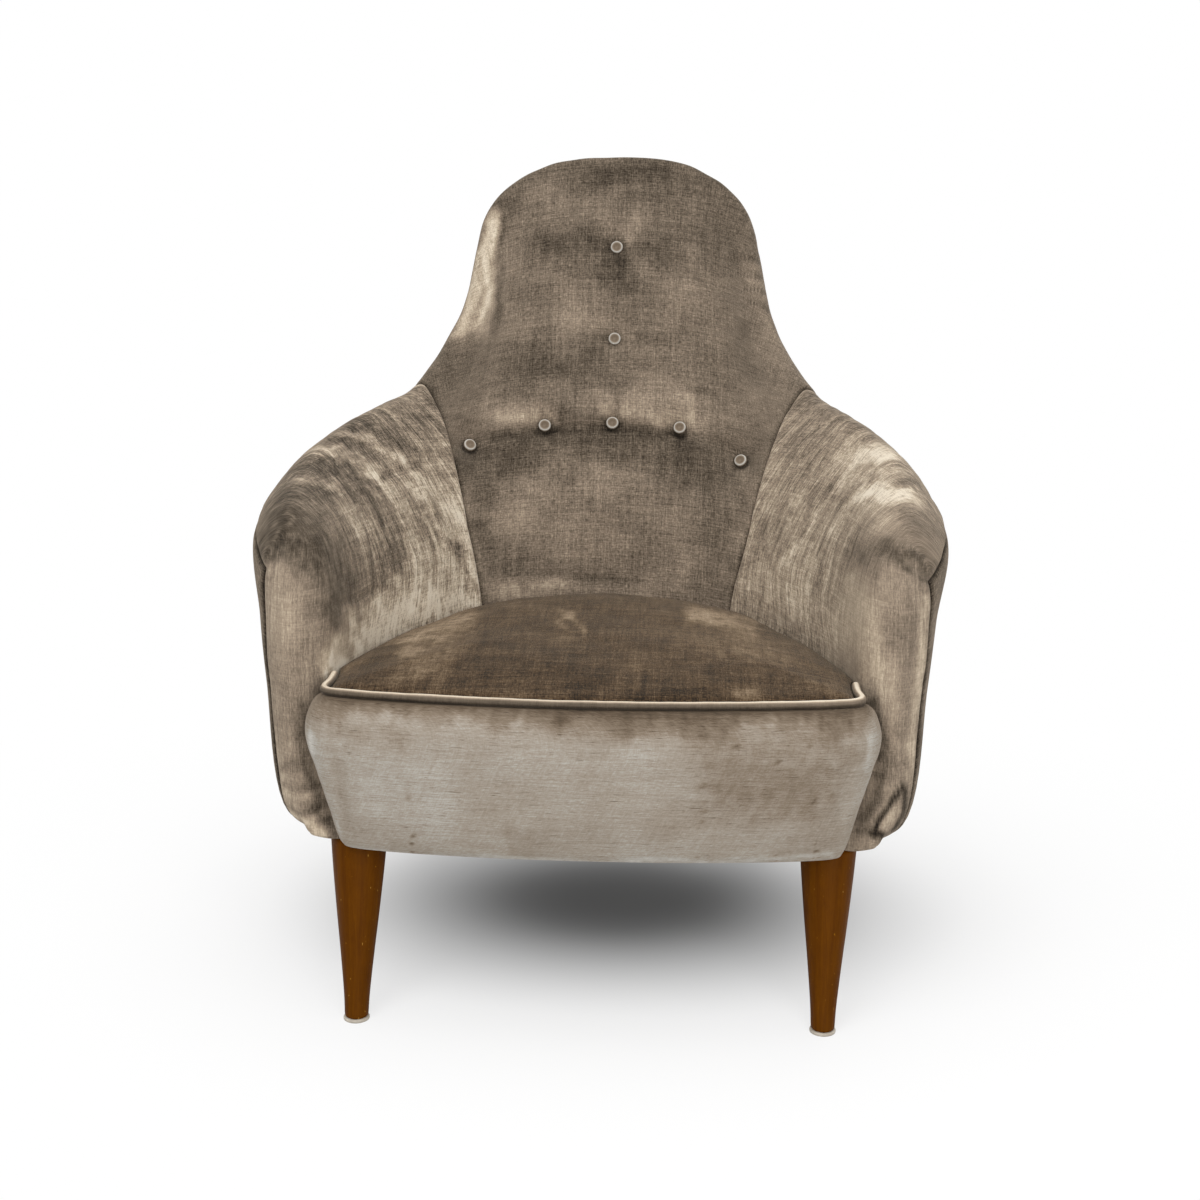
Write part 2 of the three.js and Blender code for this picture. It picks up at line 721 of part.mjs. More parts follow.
// Across the front: [x share, how far the front has dropped back to the side]
const borderFrontShares = [
  [1, 1], [0.995, 0.62], [0.975, 0.36], [0.93, 0.19], [0.85, 0.09], [0.7, 0.03], [0.45, 0], [0.2, 0],
];
const borderBackShares = [0.9, 0.6, 0.3, 0];
const borderBowShare = 0.42;   // of the piping's own bow
const borderLeadShare = 0.13;  // of the way from the rail to the piping, ahead of the seat pad
const borderTop = pipingHeight - pipingRadius - fitGap;
const borderBottom = baseHeight + fitGap;
const borderRings = borderRowShares.map(([height, width, middle, side]) => {
  const z = borderBottom + height * (borderTop - borderBottom);
  const reach = width * halfWidth;
  const sideY = side * halfDepth;
  const onPad = z > seatPadBottom ? (z - seatPadBottom) / seatPadDepth + borderLeadShare : 0;
  const back = Math.min(onPad, 1);
  const backMiddle = THREE.MathUtils.lerp(railFront.middle, pipingMiddle + pipeBack, back) - softGap;
  const backCorner = THREE.MathUtils.lerp(railFront.corner, pipingCorner + pipeBack, back) - softGap;
  const frontAt = (share, drop) => {
    const bowed = middle * halfDepth + borderBowShare * (pipingCorner - pipingMiddle) * share ** 2;
    return new THREE.Vector3(share * reach, THREE.MathUtils.lerp(bowed, sideY, drop), z);
  };
  const backAt = (share) => {
    const x = share * reach;
    return new THREE.Vector3(x, bow(x, backMiddle, backCorner), z);
  };
  const flip = (place) => place.clone().setX(-place.x);
  const front = borderFrontShares.map(([share, drop]) => frontAt(share, drop));
  const rear = borderBackShares.map(backAt);
  return [
    ...front,
    ...front.map(flip).reverse(),
    ...rear.slice(0, -1).map(flip),
    ...rear.reverse(),
  ];
});
addPart('front_border', loft(borderRings), paleVelvet);

// Frame: rails, blocks, posts and slats. A place on the floor plan is [x share of half the width,
// y share of half the depth].
const planShares = {
  frontBlock: [0.713, -0.637],
  rearBlock: [0.488, 0.511],
  armPost: [0.819, -0.652],
  backPost: [0.53, 0.511],
  frontLegTop: [0.674, -0.677],
  frontLegFoot: [0.664, -0.85],
  rearLegTop: [0.51, 0.5],
  rearLegFoot: [0.55, 0.775],
};
const frontBlockMiddle = railFront.corner + railThickness + fitGap + blockDepth / 2;
const frontBlock = placeAbove(planShares.frontBlock, 0).setY(frontBlockMiddle);
const rearBlock = placeAbove(planShares.rearBlock, 0);
const railMiddle = (railBottom + railTop) / 2;

const legPlaces = [
  {
    name: 'front_leg',
    top: placeAbove(planShares.frontLegTop, legTop),
    foot: placeAbove(planShares.frontLegFoot, 0),
    topDiameter: legTopDiameter,
    holder: frontBlock,
    holderWidth: frontBlockWidth,
  },
  {
    name: 'rear_leg',
    top: placeAbove(planShares.rearLegTop, legTop),
    foot: placeAbove(planShares.rearLegFoot, 0),
    topDiameter: rearLegTopDiameter,
    holder: rearBlock,
    holderWidth: rearBlockWidth,
  },
];

function slab(centre, bottom, top) {
  return block(centre, overrun * 2, overrun * 2, bottom, top);
}

// Legs: each tapers with a slight belly, is cut level at both ends and carries its bolt
const legTaperShares = [[0, 1], [0.12, 1.06], [0.35, 1.3], [0.6, 1.6], [0.85, 1.87], [1, 2]];
legPlaces.forEach(({ name, top, foot, topDiameter, holder, holderWidth }) => {
  const length = top.distanceTo(foot);
  const radiusAt = (taper) => THREE.MathUtils.lerp(legFootDiameter, topDiameter, taper - 1) / 2;
  const ends = length + overrun;
  const profile = [
    [0, -overrun],
    [legFootDiameter / 2, -overrun],
    ...legTaperShares.map(([height, taper]) => [radiusAt(taper), height * length]),
    [topDiameter / 2, ends],
    [0, ends],
  ];
  const footTop = glideThickness + fitGap;
  const boltFrom = top.clone().lerp(foot, boltLength / 2 / length);
  const boltProfile = (grow) => {
    const radius = boltDiameter / 2 + grow;
    return [[0, -grow], [radius, -grow], [radius, boltLength + grow], [0, boltLength + grow]];
  };
  const towards = top.clone().add(top).sub(foot);
  const bolt = toGeometry(toSolid(turned(boltProfile(0), boltFrom, towards, boltSides)));
  const bore = turned(boltProfile(fitGap), boltFrom, towards, boltSides);
  addPair(name, cut(
    turned(profile, foot, top, legSides),
    slab(foot, -2 * overrun, footTop),
    slab(top, legTop, legTop + 2 * overrun),
    bore,
  ), legWood);
  addPair(`${name}_bolt`, bolt, steel);
  const centre = foot.clone().lerp(top, glideThickness / 2 / legTop);
  const glideRadius = glideDiameter / 2;
  const glide = new THREE.CylinderGeometry(glideRadius, glideRadius, glideThickness, legSides);
  glide.rotateX(Math.PI / 2);
  glide.translate(centre.x, centre.y, glideThickness / 2);
  addPair(`${name}_glide`, toGeometry(toSolid(glide)), glidePlastic);
  const wood = join(
    block(holder.clone().setX(top.x), legSeatWidth, blockDepth, baseHeight, blockTop),
    block(holder, holderWidth, blockDepth, railBottom + blockStep, blockTop),
  );
  addPair(name.replace('leg', 'block'), cut(wood, bore), frameWood);
});

const frontRailShares = [1, 0.75, 0.5, 0.25, 0];
const frontRailHalf = frontRailShares.map((share) => {
  const x = share * seatShares.railEndX * halfWidth;
  const front = bow(x, railFront.middle, railFront.corner);
  return new THREE.Vector3(x, front + railThickness / 2, railMiddle);
});
addPart('front_rail', bar(mirrorPath(frontRailHalf), railThickness, railHeight), frameWood);

// Frame paths: each place is [x share of half the width, y share of half the depth, level share]
function framePath(shares) {
  return shares.map((share) => placeFrom(share));
}

function levelPath(shares, height) {
  return shares.map((share) => placeAbove(share, height));
}

const sideRailStart = (frontBlock.y + blockDepth / 2 + 2 * softGap) / halfDepth;
const sideRailShares = [
  [0.785, sideRailStart], [0.812, -0.42], [0.822, -0.26], [0.78, 0.07], [0.7, 0.31], [0.616, 0.47],
];
addPair('side_rail', bar(
  levelPath(sideRailShares, railMiddle),
  railThickness,
  railHeight,
), frameWood);
const rearRailShares = [[0.5, 0.6], [0.36, 0.67], [0.2, 0.715], [0, 0.73]];
addPart('rear_rail', bar(
  mirrorPath(levelPath(rearRailShares, railMiddle)),
  railThickness,
  railHeight,
), frameWood);

const armPostTopShare = 1.14;
const armPostTop = levelHeight(armPostTopShare);
addPair('arm_post', post(
  [blockTop + fitGap, armPostTop].map((height) => placeAbove(planShares.armPost, height)),
  postThickness,
  postThickness,
), frameWood);

const backPostShares = [
  [0.55, 0.62, 1.088], [0.525, 0.75, 1.35], [0.42, 0.9, 1.665], [0.361, 0.93, 1.77],
];
const backPostFoot = placeAbove(planShares.backPost, blockTop + fitGap);
const backPostPath = [backPostFoot, ...framePath(backPostShares)];
addPair('back_post', post(backPostPath, postThickness, postThickness), frameWood);
const grownPost = post(
  [backPostFoot.clone().setZ(blockTop), ...backPostPath.slice(1)],
  postThickness + 2 * fitGap,
  postThickness + 2 * fitGap,
);
const grownPosts = [grownPost, mirrored(grownPost)];

const armRailFront = (armPostTop + fitGap + armRailHeight / 2 - seatHeight) / (chairHeight - seatHeight);
const armRailShares = [
  [0.838, -0.66, 1 + armRailFront], [0.846, -0.6, 1 + armRailFront], [0.884, -0.49, 1.224],
  [0.899, -0.258, 1.273], [0.864, 0.067, 1.312], [0.775, 0.349, 1.345], [0.63, 0.62, 1.36],
];
addPair('arm_rail', cut(
  bar(framePath(armRailShares), armRailWidth, armRailHeight),
  ...grownPosts,
), frameWood);

const crownRailShares = [
  [0.361, 0.93, 1.796], [0.28, 0.932, 1.86], [0.15, 0.938, 1.9], [0, 0.94, 1.913],
];
addPart('crown_rail', cut(
  bar(mirrorPath(framePath(crownRailShares)), crownRailThickness, crownRailHeight),
  ...grownPosts,
), frameWood);

// Slats run straight between the back posts
function backPostAt(height) {
  const above = Math.max(1, backPostPath.findIndex((place) => place.z > height));
  const [low, high] = [backPostPath[above - 1], backPostPath[above]];
  return low.clone().lerp(high, (height - low.z) / (high.z - low.z));
}
const slatLevelShares = { tacking_rail: 0.8, lower_slat: 1.22, upper_slat: 1.58 };
Object.entries(slatLevelShares).forEach(([name, level]) => {
  const end = backPostAt(levelHeight(level));
  const flat = bar([end, end.clone().setX(-end.x)], slatThickness, slatHeight);
  addPart(name, cut(flat, ...grownPosts), frameWood);
});

// Seat suspension
const springHeight = hessianBottom - fitGap - (webbingTop + fitGap);
class SpringCurve extends THREE.Curve {
  getPoint(share) {
    const turn = 2 * Math.PI * springTurns * share;
    const waist = (2 * share - 1) ** 2;
    const radius = THREE.MathUtils.lerp(springWaistDiameter, springEndDiameter, waist) / 2;
    const rise = springHeight - springWire;
    return new THREE.Vector3(
      (radius - springWire / 2) * Math.cos(turn),
      (radius - springWire / 2) * Math.sin(turn),
      springWire / 2 + rise * share,
    );
  }
}
const springSteps = springTurns * springTurnSteps;
const springGeometry = cordAlong(new SpringCurve(), springWire / 2, springSides, springSteps);
const springRowShares = [
  { y: -0.5, xs: [0.47, 0, -0.47] },
  { y: -0.235, xs: [0.36, 0, -0.36] },
  { y: 0.03, xs: [0.19, -0.19] },
];
let springCount = 0;
springRowShares.forEach(({ y, xs }) => xs.forEach((x) => {
  springCount += 1;
  const spring = addPart(`seat_spring_${springCount}`, springGeometry, steel);
  spring.position.set(x * halfWidth, y * halfDepth, webbingTop + fitGap);
}));

const crossStripShares = [0.83, 0.83, 0.79];
const crossStrips = springRowShares.map(({ y }, row) => {
  const reach = crossStripShares[row] * halfWidth;
  const centre = placeAbove([0, y], 0);
  return block(centre, 2 * reach, webbingWidth, webbingTop - webbingThickness, webbingTop);
});
const longStripShares = [0.31, 0, -0.31];
const longStripBackShare = 0.7;
const longStrips = longStripShares.map((x) => {
  const front = bow(x * halfWidth, railFront.middle, railFront.corner) + 2 * softGap;
  const back = longStripBackShare * halfDepth;
  const centre = new THREE.Vector3(x * halfWidth, (front + back) / 2, 0);
  const bottom = webbingTop - webbingThickness + weaveStep;
  return block(centre, webbingWidth, back - front, bottom, webbingTop - weaveStep);
});
addPart('seat_webbing', join(...crossStrips, ...longStrips), jute);

// Dust cover: a flat sheet within the turned-in covers, notched round the corner blocks
const dustRing = [
  ...wallPlaces(lastRail, 0, dustInset),
  ...seatFrontShares.map((share) => {
    const x = -share * seatShares.dustFrontX * halfWidth;
    return new THREE.Vector3(x, bow(x, railFront.middle, railFront.corner) + softGap, 0);
  }),
];
const dustSheet = loft([dustTop - dustThickness, dustTop].map(
  (height) => dustRing.map((place) => place.clone().setZ(height)),
));
const notches = legPlaces.flatMap(({ holder, holderWidth }) => {
  const notch = block(holder, holderWidth + 2 * softGap, blockDepth + 2 * softGap, legTop, blockTop);
  return [notch, mirrored(notch)];
});
addPart('dust_cover', cut(dustSheet, ...notches), dustCloth);

export default chair;
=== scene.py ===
import math

import bpy
import numpy as np
from mathutils import Matrix, Vector, geometry, kdtree


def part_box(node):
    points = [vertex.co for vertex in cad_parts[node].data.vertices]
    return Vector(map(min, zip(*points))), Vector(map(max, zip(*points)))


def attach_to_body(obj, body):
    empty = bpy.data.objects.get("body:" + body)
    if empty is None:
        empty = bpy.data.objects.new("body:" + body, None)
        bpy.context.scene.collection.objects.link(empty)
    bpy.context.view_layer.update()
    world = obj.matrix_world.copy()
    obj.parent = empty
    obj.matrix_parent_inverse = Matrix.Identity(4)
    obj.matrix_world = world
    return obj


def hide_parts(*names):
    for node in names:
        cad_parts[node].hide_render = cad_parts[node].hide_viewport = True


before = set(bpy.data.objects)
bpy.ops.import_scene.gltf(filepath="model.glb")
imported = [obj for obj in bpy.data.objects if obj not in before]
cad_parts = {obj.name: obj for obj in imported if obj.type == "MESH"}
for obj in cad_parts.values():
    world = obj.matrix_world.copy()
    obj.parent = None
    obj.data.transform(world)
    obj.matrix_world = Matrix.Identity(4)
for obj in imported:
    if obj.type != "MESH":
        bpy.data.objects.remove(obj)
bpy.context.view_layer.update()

# Sizes of the chair in millimetres: +Z is up and the front faces -Y
METRE = 0.001
TUB_WIDTH = 808.0
CHAIR_DEPTH = 774.0
CHAIR_HEIGHT = 971.0
SEAT_HEIGHT = 400.0
BASE_HEIGHT = 204.0
HALF_WIDTH = TUB_WIDTH / 2
HALF_DEPTH = CHAIR_DEPTH / 2
BACK_PAD = 30.0
ROLL_PAD = 13.0
EDGE_PAD = 8.0
NOSE_PAD = 14.0
OUTSIDE_PANEL = 6.0
SEAM_GAP = 0.5
FIT_GAP = 0.3
SOFT_GAP = 1.4
SEAT_CROWN = 26.0
SEAT_PAD_DEPTH = 56.0
PIPING_RADIUS = 5.0
BORDER_PUFF = 17.0
BUTTON_RADIUS = 8.5
BUTTON_DEPTH = 7.0
TUFT_DEPTH = 13.0
TUFT_REACH = 62.0

# The camera stands where the photograph was taken from. Its picture is 1200 wide and 1200 high.
PICTURE = 1200.0
FOCAL_PIXELS = 1866.06
CENTRE_X = 604.05
CENTRE_Y = 600.05
PITCH = math.radians(13.415)
YAW = math.radians(2.204)
ROLL = math.radians(0.6236)
CAMERA_DISTANCE = 2.3038
CAMERA_HEIGHT = 0.97378
SENSOR = 36.0
VIEW_LIMIT = 50.0
GRAZING = 0.35          # a surface turned away further than this takes less of a stroke

eye = Vector((math.sin(YAW) * CAMERA_DISTANCE, -math.cos(YAW) * CAMERA_DISTANCE, CAMERA_HEIGHT))
ahead = Vector((
    -math.sin(YAW) * math.cos(PITCH), math.cos(YAW) * math.cos(PITCH), -math.sin(PITCH),
))
level_right = Vector((math.cos(YAW), math.sin(YAW), 0))
level_up = level_right.cross(ahead)
right = level_right * math.cos(ROLL) + level_up * math.sin(ROLL)
up = level_up * math.cos(ROLL) - level_right * math.sin(ROLL)


def make_camera():
    data = bpy.data.cameras.new("camera")
    data.sensor_width = SENSOR
    data.lens = FOCAL_PIXELS / PICTURE * SENSOR
    data.shift_x = (PICTURE / 2 - CENTRE_X) / PICTURE
    data.shift_y = (CENTRE_Y - PICTURE / 2) / PICTURE
    data.clip_end = VIEW_LIMIT
    camera = bpy.data.objects.new("camera", data)
    bpy.context.scene.collection.objects.link(camera)
    turn = Matrix((right, up, -ahead)).transposed()
    camera.matrix_world = Matrix.Translation(eye) @ turn.to_4x4()
    bpy.context.scene.camera = camera


def picture_places(points):
    """Where points in millimetres fall in the photograph's picture."""
    ray = points * METRE - np.array(eye)
    far = ray @ np.array(ahead)
    across = CENTRE_X + FOCAL_PIXELS * (ray @ np.array(right)) / far
    down = CENTRE_Y - FOCAL_PIXELS * (ray @ np.array(up)) / far
    return np.stack([across, down], 1)


def facing(points, normals):
    """1 where a surface faces the camera, falling to 0 where it turns away."""
    ray = points * METRE - np.array(eye)
    ray /= np.linalg.norm(ray, axis=1, keepdims=True)
    return np.clip(-(ray * normals).sum(1) / GRAZING, 0, 1)


# The tub is one surface through eleven rails, from the inside hem over the ridge to the underside.
# A rail has eleven stations, from the nose of the arm front to the middle of the back. Each place
# is [x share of half the width, y share of half the depth, level share], where level 0 is the
# underside, 1 the seat line and 2 the top of the crown.
RAILS = {
    "hem": [
        [0.8, -0.774, 0.045], [0.7, -0.736, 0.012], [0.715, -0.55, 0.49], [0.634, -0.289, 0.49],
        [0.55, -0.093, 0.49], [0.475, 0.067, 0.49], [0.403, 0.155, 0.49], [0.327, 0.222, 0.49],
        [0.245, 0.269, 0.49], [0.134, 0.31, 0.49], [0, 0.331, 0.49],
    ],
    "seat": [
        [0.826, -0.783, 0.3], [0.755, -0.734, 0.643], [0.703, -0.548, 0.959], [0.624, -0.289, 1],
        [0.537, -0.093, 1], [0.465, 0.072, 1], [0.396, 0.16, 1], [0.322, 0.233, 1],
        [0.243, 0.279, 1], [0.134, 0.323, 1], [0, 0.346, 1],
    ],
    "waist": [
        [0.837, -0.783, 0.949], [0.755, -0.731, 1.018], [0.713, -0.55, 1.084],
        [0.653, -0.284, 1.119], [0.582, -0.067, 1.14], [0.52, 0.124, 1.161], [0.455, 0.269, 1.175],
        [0.371, 0.346, 1.193], [0.267, 0.393, 1.21], [0.139, 0.426, 1.219], [0, 0.439, 1.219],
    ],
    "chest": [
        [0.839, -0.778, 1.096], [0.765, -0.721, 1.119], [0.728, -0.553, 1.175],
        [0.698, -0.276, 1.228], [0.651, -0.031, 1.256], [0.587, 0.207, 1.291], [0.52, 0.403, 1.333],
        [0.436, 0.553, 1.42], [0.337, 0.62, 1.49], [0.178, 0.651, 1.525], [0, 0.661, 1.525],
    ],
    "lip": [
        [0.844, -0.76, 1.184], [0.792, -0.693, 1.21], [0.772, -0.543, 1.266], [0.78, -0.264, 1.322],
        [0.748, 0.031, 1.357], [0.668, 0.3, 1.396], [0.584, 0.532, 1.424], [0.47, 0.744, 1.574],
        [0.376, 0.858, 1.809], [0.228, 0.868, 1.907], [0, 0.873, 1.925],
    ],
    "ridge": [
        [0.849, -0.729, 1.228], [0.861, -0.667, 1.263], [0.881, -0.53, 1.315],
        [0.889, -0.258, 1.364], [0.839, 0.067, 1.406], [0.75, 0.362, 1.438], [0.658, 0.636, 1.469],
        [0.524, 0.832, 1.634], [0.439, 0.915, 1.876], [0.258, 0.915, 1.974], [0, 0.91, 2],
    ],
    "crest": [
        [0.844, -0.76, 1.184], [0.926, -0.677, 1.203], [0.985, -0.522, 1.245], [1, -0.243, 1.284],
        [0.958, 0.088, 1.315], [0.859, 0.388, 1.35], [0.733, 0.667, 1.385], [0.554, 0.879, 1.587],
        [0.449, 0.976, 1.849], [0.258, 0.979, 1.942], [0, 0.981, 1.96],
    ],
    "flank": [
        [0.839, -0.778, 1.096], [0.928, -0.693, 1.096], [0.968, -0.537, 1.109],
        [0.985, -0.245, 1.126], [0.946, 0.093, 1.151], [0.854, 0.393, 1.175], [0.743, 0.656, 1.201],
        [0.588, 0.848, 1.333], [0.449, 0.951, 1.525], [0.238, 0.978, 1.63], [0, 0.982, 1.648],
    ],
    "side": [
        [0.837, -0.783, 0.949], [0.918, -0.703, 0.923], [0.95, -0.543, 0.939],
        [0.963, -0.248, 0.959], [0.926, 0.093, 0.99], [0.837, 0.377, 1.009], [0.733, 0.63, 1.021],
        [0.584, 0.806, 1.07], [0.421, 0.904, 1.14], [0.223, 0.946, 1.175], [0, 0.956, 1.184],
    ],
    "sill": [
        [0.826, -0.783, 0.3], [0.876, -0.698, 0.13], [0.915, -0.537, 0.17], [0.928, -0.248, 0.22],
        [0.886, 0.088, 0.235], [0.804, 0.357, 0.235], [0.698, 0.589, 0.235], [0.559, 0.734, 0.235],
        [0.396, 0.806, 0.235], [0.208, 0.842, 0.235], [0, 0.853, 0.235],
    ],
    "under": [
        [0.8, -0.774, 0.045], [0.79, -0.667, 0], [0.85, -0.527, 0], [0.864, -0.253, 0],
        [0.827, 0.067, 0], [0.748, 0.315, 0], [0.649, 0.532, 0], [0.515, 0.661, 0],
        [0.361, 0.729, 0], [0.188, 0.76, 0], [0, 0.77, 0],
    ],
}
LAST_RAIL = len(RAILS) - 1
RIDGE = 5
CREST = 6
SKIRT = 0.5
CORNER = 1              # where the face of the arm front turns into its sides
NECK = 6                # where the arm meets the back
MIDDLE = 10
LAST_STATION = 2 * MIDDLE
NOSE_MIDDLE = 0.835


def place(x, y, level):
    """A place in millimetres from its shares."""
    low = BASE_HEIGHT + min(level, 1) * (SEAT_HEIGHT - BASE_HEIGHT)
    return (x * HALF_WIDTH, y * HALF_DEPTH, low + max(level - 1, 0) * (CHAIR_HEIGHT - SEAT_HEIGHT))


def unit(vectors):
    """The vectors at length 1."""
    return vectors / np.maximum(np.linalg.norm(vectors, axis=-1, keepdims=True), 1e-9)


def spline(points, at):
    """Centripetal Catmull-Rom curves through points (curves, places, 3), at counts in places."""
    start = 2 * points[:, :1] - points[:, 1:2]
    end = 2 * points[:, -1:] - points[:, -2:-1]
    places = np.concatenate([start, points, end], 1)
    at = np.asarray(at, float)
    step = np.clip(np.floor(at).astype(int), 0, points.shape[1] - 2)
    part = (at - step)[None, :, None]
    p0, p1, p2, p3 = (places[:, step + k] for k in range(4))

    def gap(a, b):
        return np.sqrt(np.linalg.norm(b - a, axis=2, keepdims=True))

    d1 = gap(p1, p2)
    d1 = np.where(d1 < 1e-4, 1, d1)
    d0 = gap(p0, p1)
    d0 = np.where(d0 < 1e-4, d1, d0)
    d2 = gap(p2, p3)
    d2 = np.where(d2 < 1e-4, d1, d2)
    t1 = ((p1 - p0) / d0 - (p2 - p0) / (d0 + d1) + (p2 - p1) / d1) * d1
    t2 = ((p2 - p1) / d1 - (p3 - p1) / (d1 + d2) + (p3 - p2) / d2) * d1
    square = -3 * p1 + 3 * p2 - 2 * t1 - t2
    cube = 2 * p1 - 2 * p2 + t1 + t2
    return p1 + t1 * part + square * part**2 + cube * part**3


def make_net():
    """The rails of both halves of the tub, with one more station at each end."""
    half = np.array([[place(*share) for share in row] for row in RAILS.values()])
    mirror = np.array([-1, 1, 1])
    both = np.concatenate([half, half[:, -2::-1] * mirror], 1)
    return np.concatenate([both[::-1, 1:2], both, both[::-1, -2:-1]], 1)


NET = make_net()


def tub(stations, rails):
    """Places on the tub, as (stations, rails, 3)."""
    across = spline(NET, np.asarray(stations, float) + 1)
    return spline(across.transpose(1, 0, 2), rails)


def tub_at(station, rail):
    """A place on the tub and the way out of it there."""
    step = 0.05
    grid = tub([station - step, station, station + step], [rail - step, rail, rail + step])
    out = np.cross(grid[1, 2] - grid[1, 0], grid[2, 1] - grid[0, 1])
    return grid[1, 1], unit(out)


# Buttons: each has its columns from the middle of the back and its share of the way over the rails
BACK_COLUMNS = 28
BACK_STEP = (LAST_STATION - 2 * NECK) / BACK_COLUMNS
BUTTONS = {
    "button_top": (0, 0.362),
    "button_upper": (0, 0.314),
    "button_row_1": (-11, 0.258),
    "button_row_2": (-5, 0.258),
    "button_row_3": (0, 0.258),
    "button_row_4": (5, 0.258),
    "button_row_5": (12, 0.28),
}
button_places = {
    name: tub_at(MIDDLE + columns * BACK_STEP, share * LAST_RAIL)
    for name, (columns, share) in BUTTONS.items()
}


# Helpers for surfaces
def smooth(value, low, high):
    """0 below low and 1 above high, with an even change between them."""
    part = np.clip((value - low) / (high - low), 0, 1)
    return part * part * (3 - 2 * part)


WAVE_COUNT = 14


def waves(points, length, seed):
    """Soft unevenness between -1 and 1 with bumps about as long as length, in millimetres."""
    chance = np.random.default_rng(seed)
    total = np.zeros(len(points))
    for _ in range(WAVE_COUNT):
        way = unit(chance.normal(size=3))
        pitch = length * chance.uniform(0.7, 1.6)
        total += np.sin(points @ way * (2 * math.pi / pitch) + chance.uniform(0, 2 * math.pi))
    return total / math.sqrt(WAVE_COUNT)


def uneven(points, wide, close, seed):
    """Height from two layers of waves, each (height, length)."""
    height = wide[0] * waves(points, wide[1], seed)
    return height + close[0] * waves(points, close[1], seed + 1)


def line_distance(places, line):
    """Distance of flat places to a line of points, and how far along it from 0 to 1."""
    line = np.array(line, float)
    nearest = np.full(len(places), np.inf)
    along = np.zeros(len(places))
    spans = np.linalg.norm(np.diff(line, axis=0), axis=1)
    run = 0.0
    for start, end, span in zip(line[:-1], line[1:], spans):
        way = (end - start) / span
        part = np.clip((places - start) @ way, 0, span)
        away = np.linalg.norm(places - start - part[:, None] * way, axis=1)
        closer = away < nearest
        along[closer] = (run + part[closer]) / spans.sum()
        nearest = np.minimum(nearest, away)
        run += span
    return nearest, along


def wobble(points):
    """Sideways wander in the picture, so that brushed patches get ragged edges."""
    wide = np.stack([waves(points, 60, seed) for seed in (101, 102)], 1)
    close = np.stack([waves(points, 20, seed) for seed in (103, 104)], 1)
    return 7 * wide + 4 * close


def bell(away, width):
    """1 on a line, falling to 0 at about twice the width from it."""
    return np.exp(-((away / width) ** 2))


def folds(points, normals, lines):
    """Height from fold lines: each is (height, width, line), drawn in the picture."""
    seen = facing(points, normals)
    places = picture_places(points)
    height = np.zeros(len(points))
    for rise, width, line in lines:
        away, along = line_distance(places, line)
        ends = smooth(along, -0.02, 0.16) * (1 - smooth(along, 0.84, 1.02))
        height += rise * bell(away, width) * ends * seen
    return height


RAGGED_WIDTH = 22.0     # strokes this wide, in pixels, get fully ragged edges


def brushed(points, normals, base, strokes):
    """Tone of the pile, with painted shade and highlights, from strokes: each is (tone, strength,
    width, line).
    """
    seen = facing(points, normals)
    places = picture_places(points)
    wander = wobble(points)
    ragged = 1 + 0.3 * waves(points, 13, 105)
    tone = np.full(len(points), float(base))
    for aim, strength, width, line in strokes:
        away, _ = line_distance(places + wander * min(1, width / RAGGED_WIDTH), line)
        share = np.clip(strength * ragged, 0, 1) * bell(away, width) * seen
        tone += (aim - tone) * share
    return tone


# Fold lines (height, width, line) and strokes (tone, strength, width, line), in pixels. Most
# strokes paint brushed pile; those marked below paint shade in folds and creases, highlights on lit
# edges and light low on the arms.
BACK_FOLDS = [
    (-5.0, 5, [(462, 444), (500, 434), (545, 427), (580, 427), (613, 425), (645, 429), (676, 431),
               (708, 438), (752, 456)]),
    (-5.0, 27, [(478, 472), (545, 460), (613, 455), (676, 460), (735, 478)]),
    (4.5, 15, [(500, 416), (560, 410), (613, 406), (660, 411), (708, 422)]),
    (-1.2, 3.5, [(618, 345), (616, 380), (613, 415)]),
    (-1.4, 4, [(530, 572), (590, 577), (640, 580)]),
    (-1.2, 5, [(500, 560), (540, 573), (575, 586)]),
    (-0.9, 3, [(733, 258), (752, 259), (768, 264)]),
    (-0.9, 3, [(735, 271), (754, 273), (771, 278)]),
    (-0.8, 3, [(740, 285), (757, 287), (773, 292)]),
    (-0.8, 3, [(744, 300), (760, 303), (776, 308)]),
    (-1.5, 4, [(545, 427), (520, 452), (505, 480)]),
    (-1.2, 4, [(676, 430), (695, 452), (702, 480)]),
]
LEFT_FOLDS = [
    (-2.2, 5, [(380, 478), (415, 466), (450, 452)]),
    (-1.8, 4, [(322, 608), (352, 600), (384, 588)]),
    (1.8, 4, [(318, 434), (360, 438), (400, 460), (430, 498), (446, 540), (460, 572)]),
    (1.6, 4, [(300, 453), (340, 451), (375, 469), (400, 506), (414, 552), (420, 592)]),
    (-1.2, 3, [(436, 530), (450, 544), (464, 552)]),
    (-1.0, 5, [(345, 560), (352, 600), (356, 630)]),
    (0.8, 5, [(275, 560), (300, 540), (325, 545)]),
]
RIGHT_FOLDS = [
    (-1.5, 5, [(872, 545), (905, 558), (934, 582)]),
    (-1.2, 4, [(880, 525), (910, 540), (938, 562)]),
    (-1.0, 4, [(866, 566), (895, 576), (928, 594)]),
    (0.9, 4, [(905, 452), (862, 452), (826, 480), (800, 530)]),
    (0.8, 4, [(915, 478), (870, 486), (842, 520), (830, 570)]),
    (-1.2, 4, [(786, 590), (812, 600), (838, 612)]),
]
BORDER_FOLDS = [
    (-1.8, 6, [(344, 722), (334, 760), (338, 800), (350, 838)]),
    (1.2, 6, [(356, 730), (350, 770), (354, 810)]),
    (-1.6, 6, [(842, 726), (852, 760), (846, 800), (834, 838)]),
    (1.2, 6, [(826, 730), (834, 770), (828, 815)]),
    (-1.0, 10, [(700, 735), (760, 740), (820, 742)]),
]
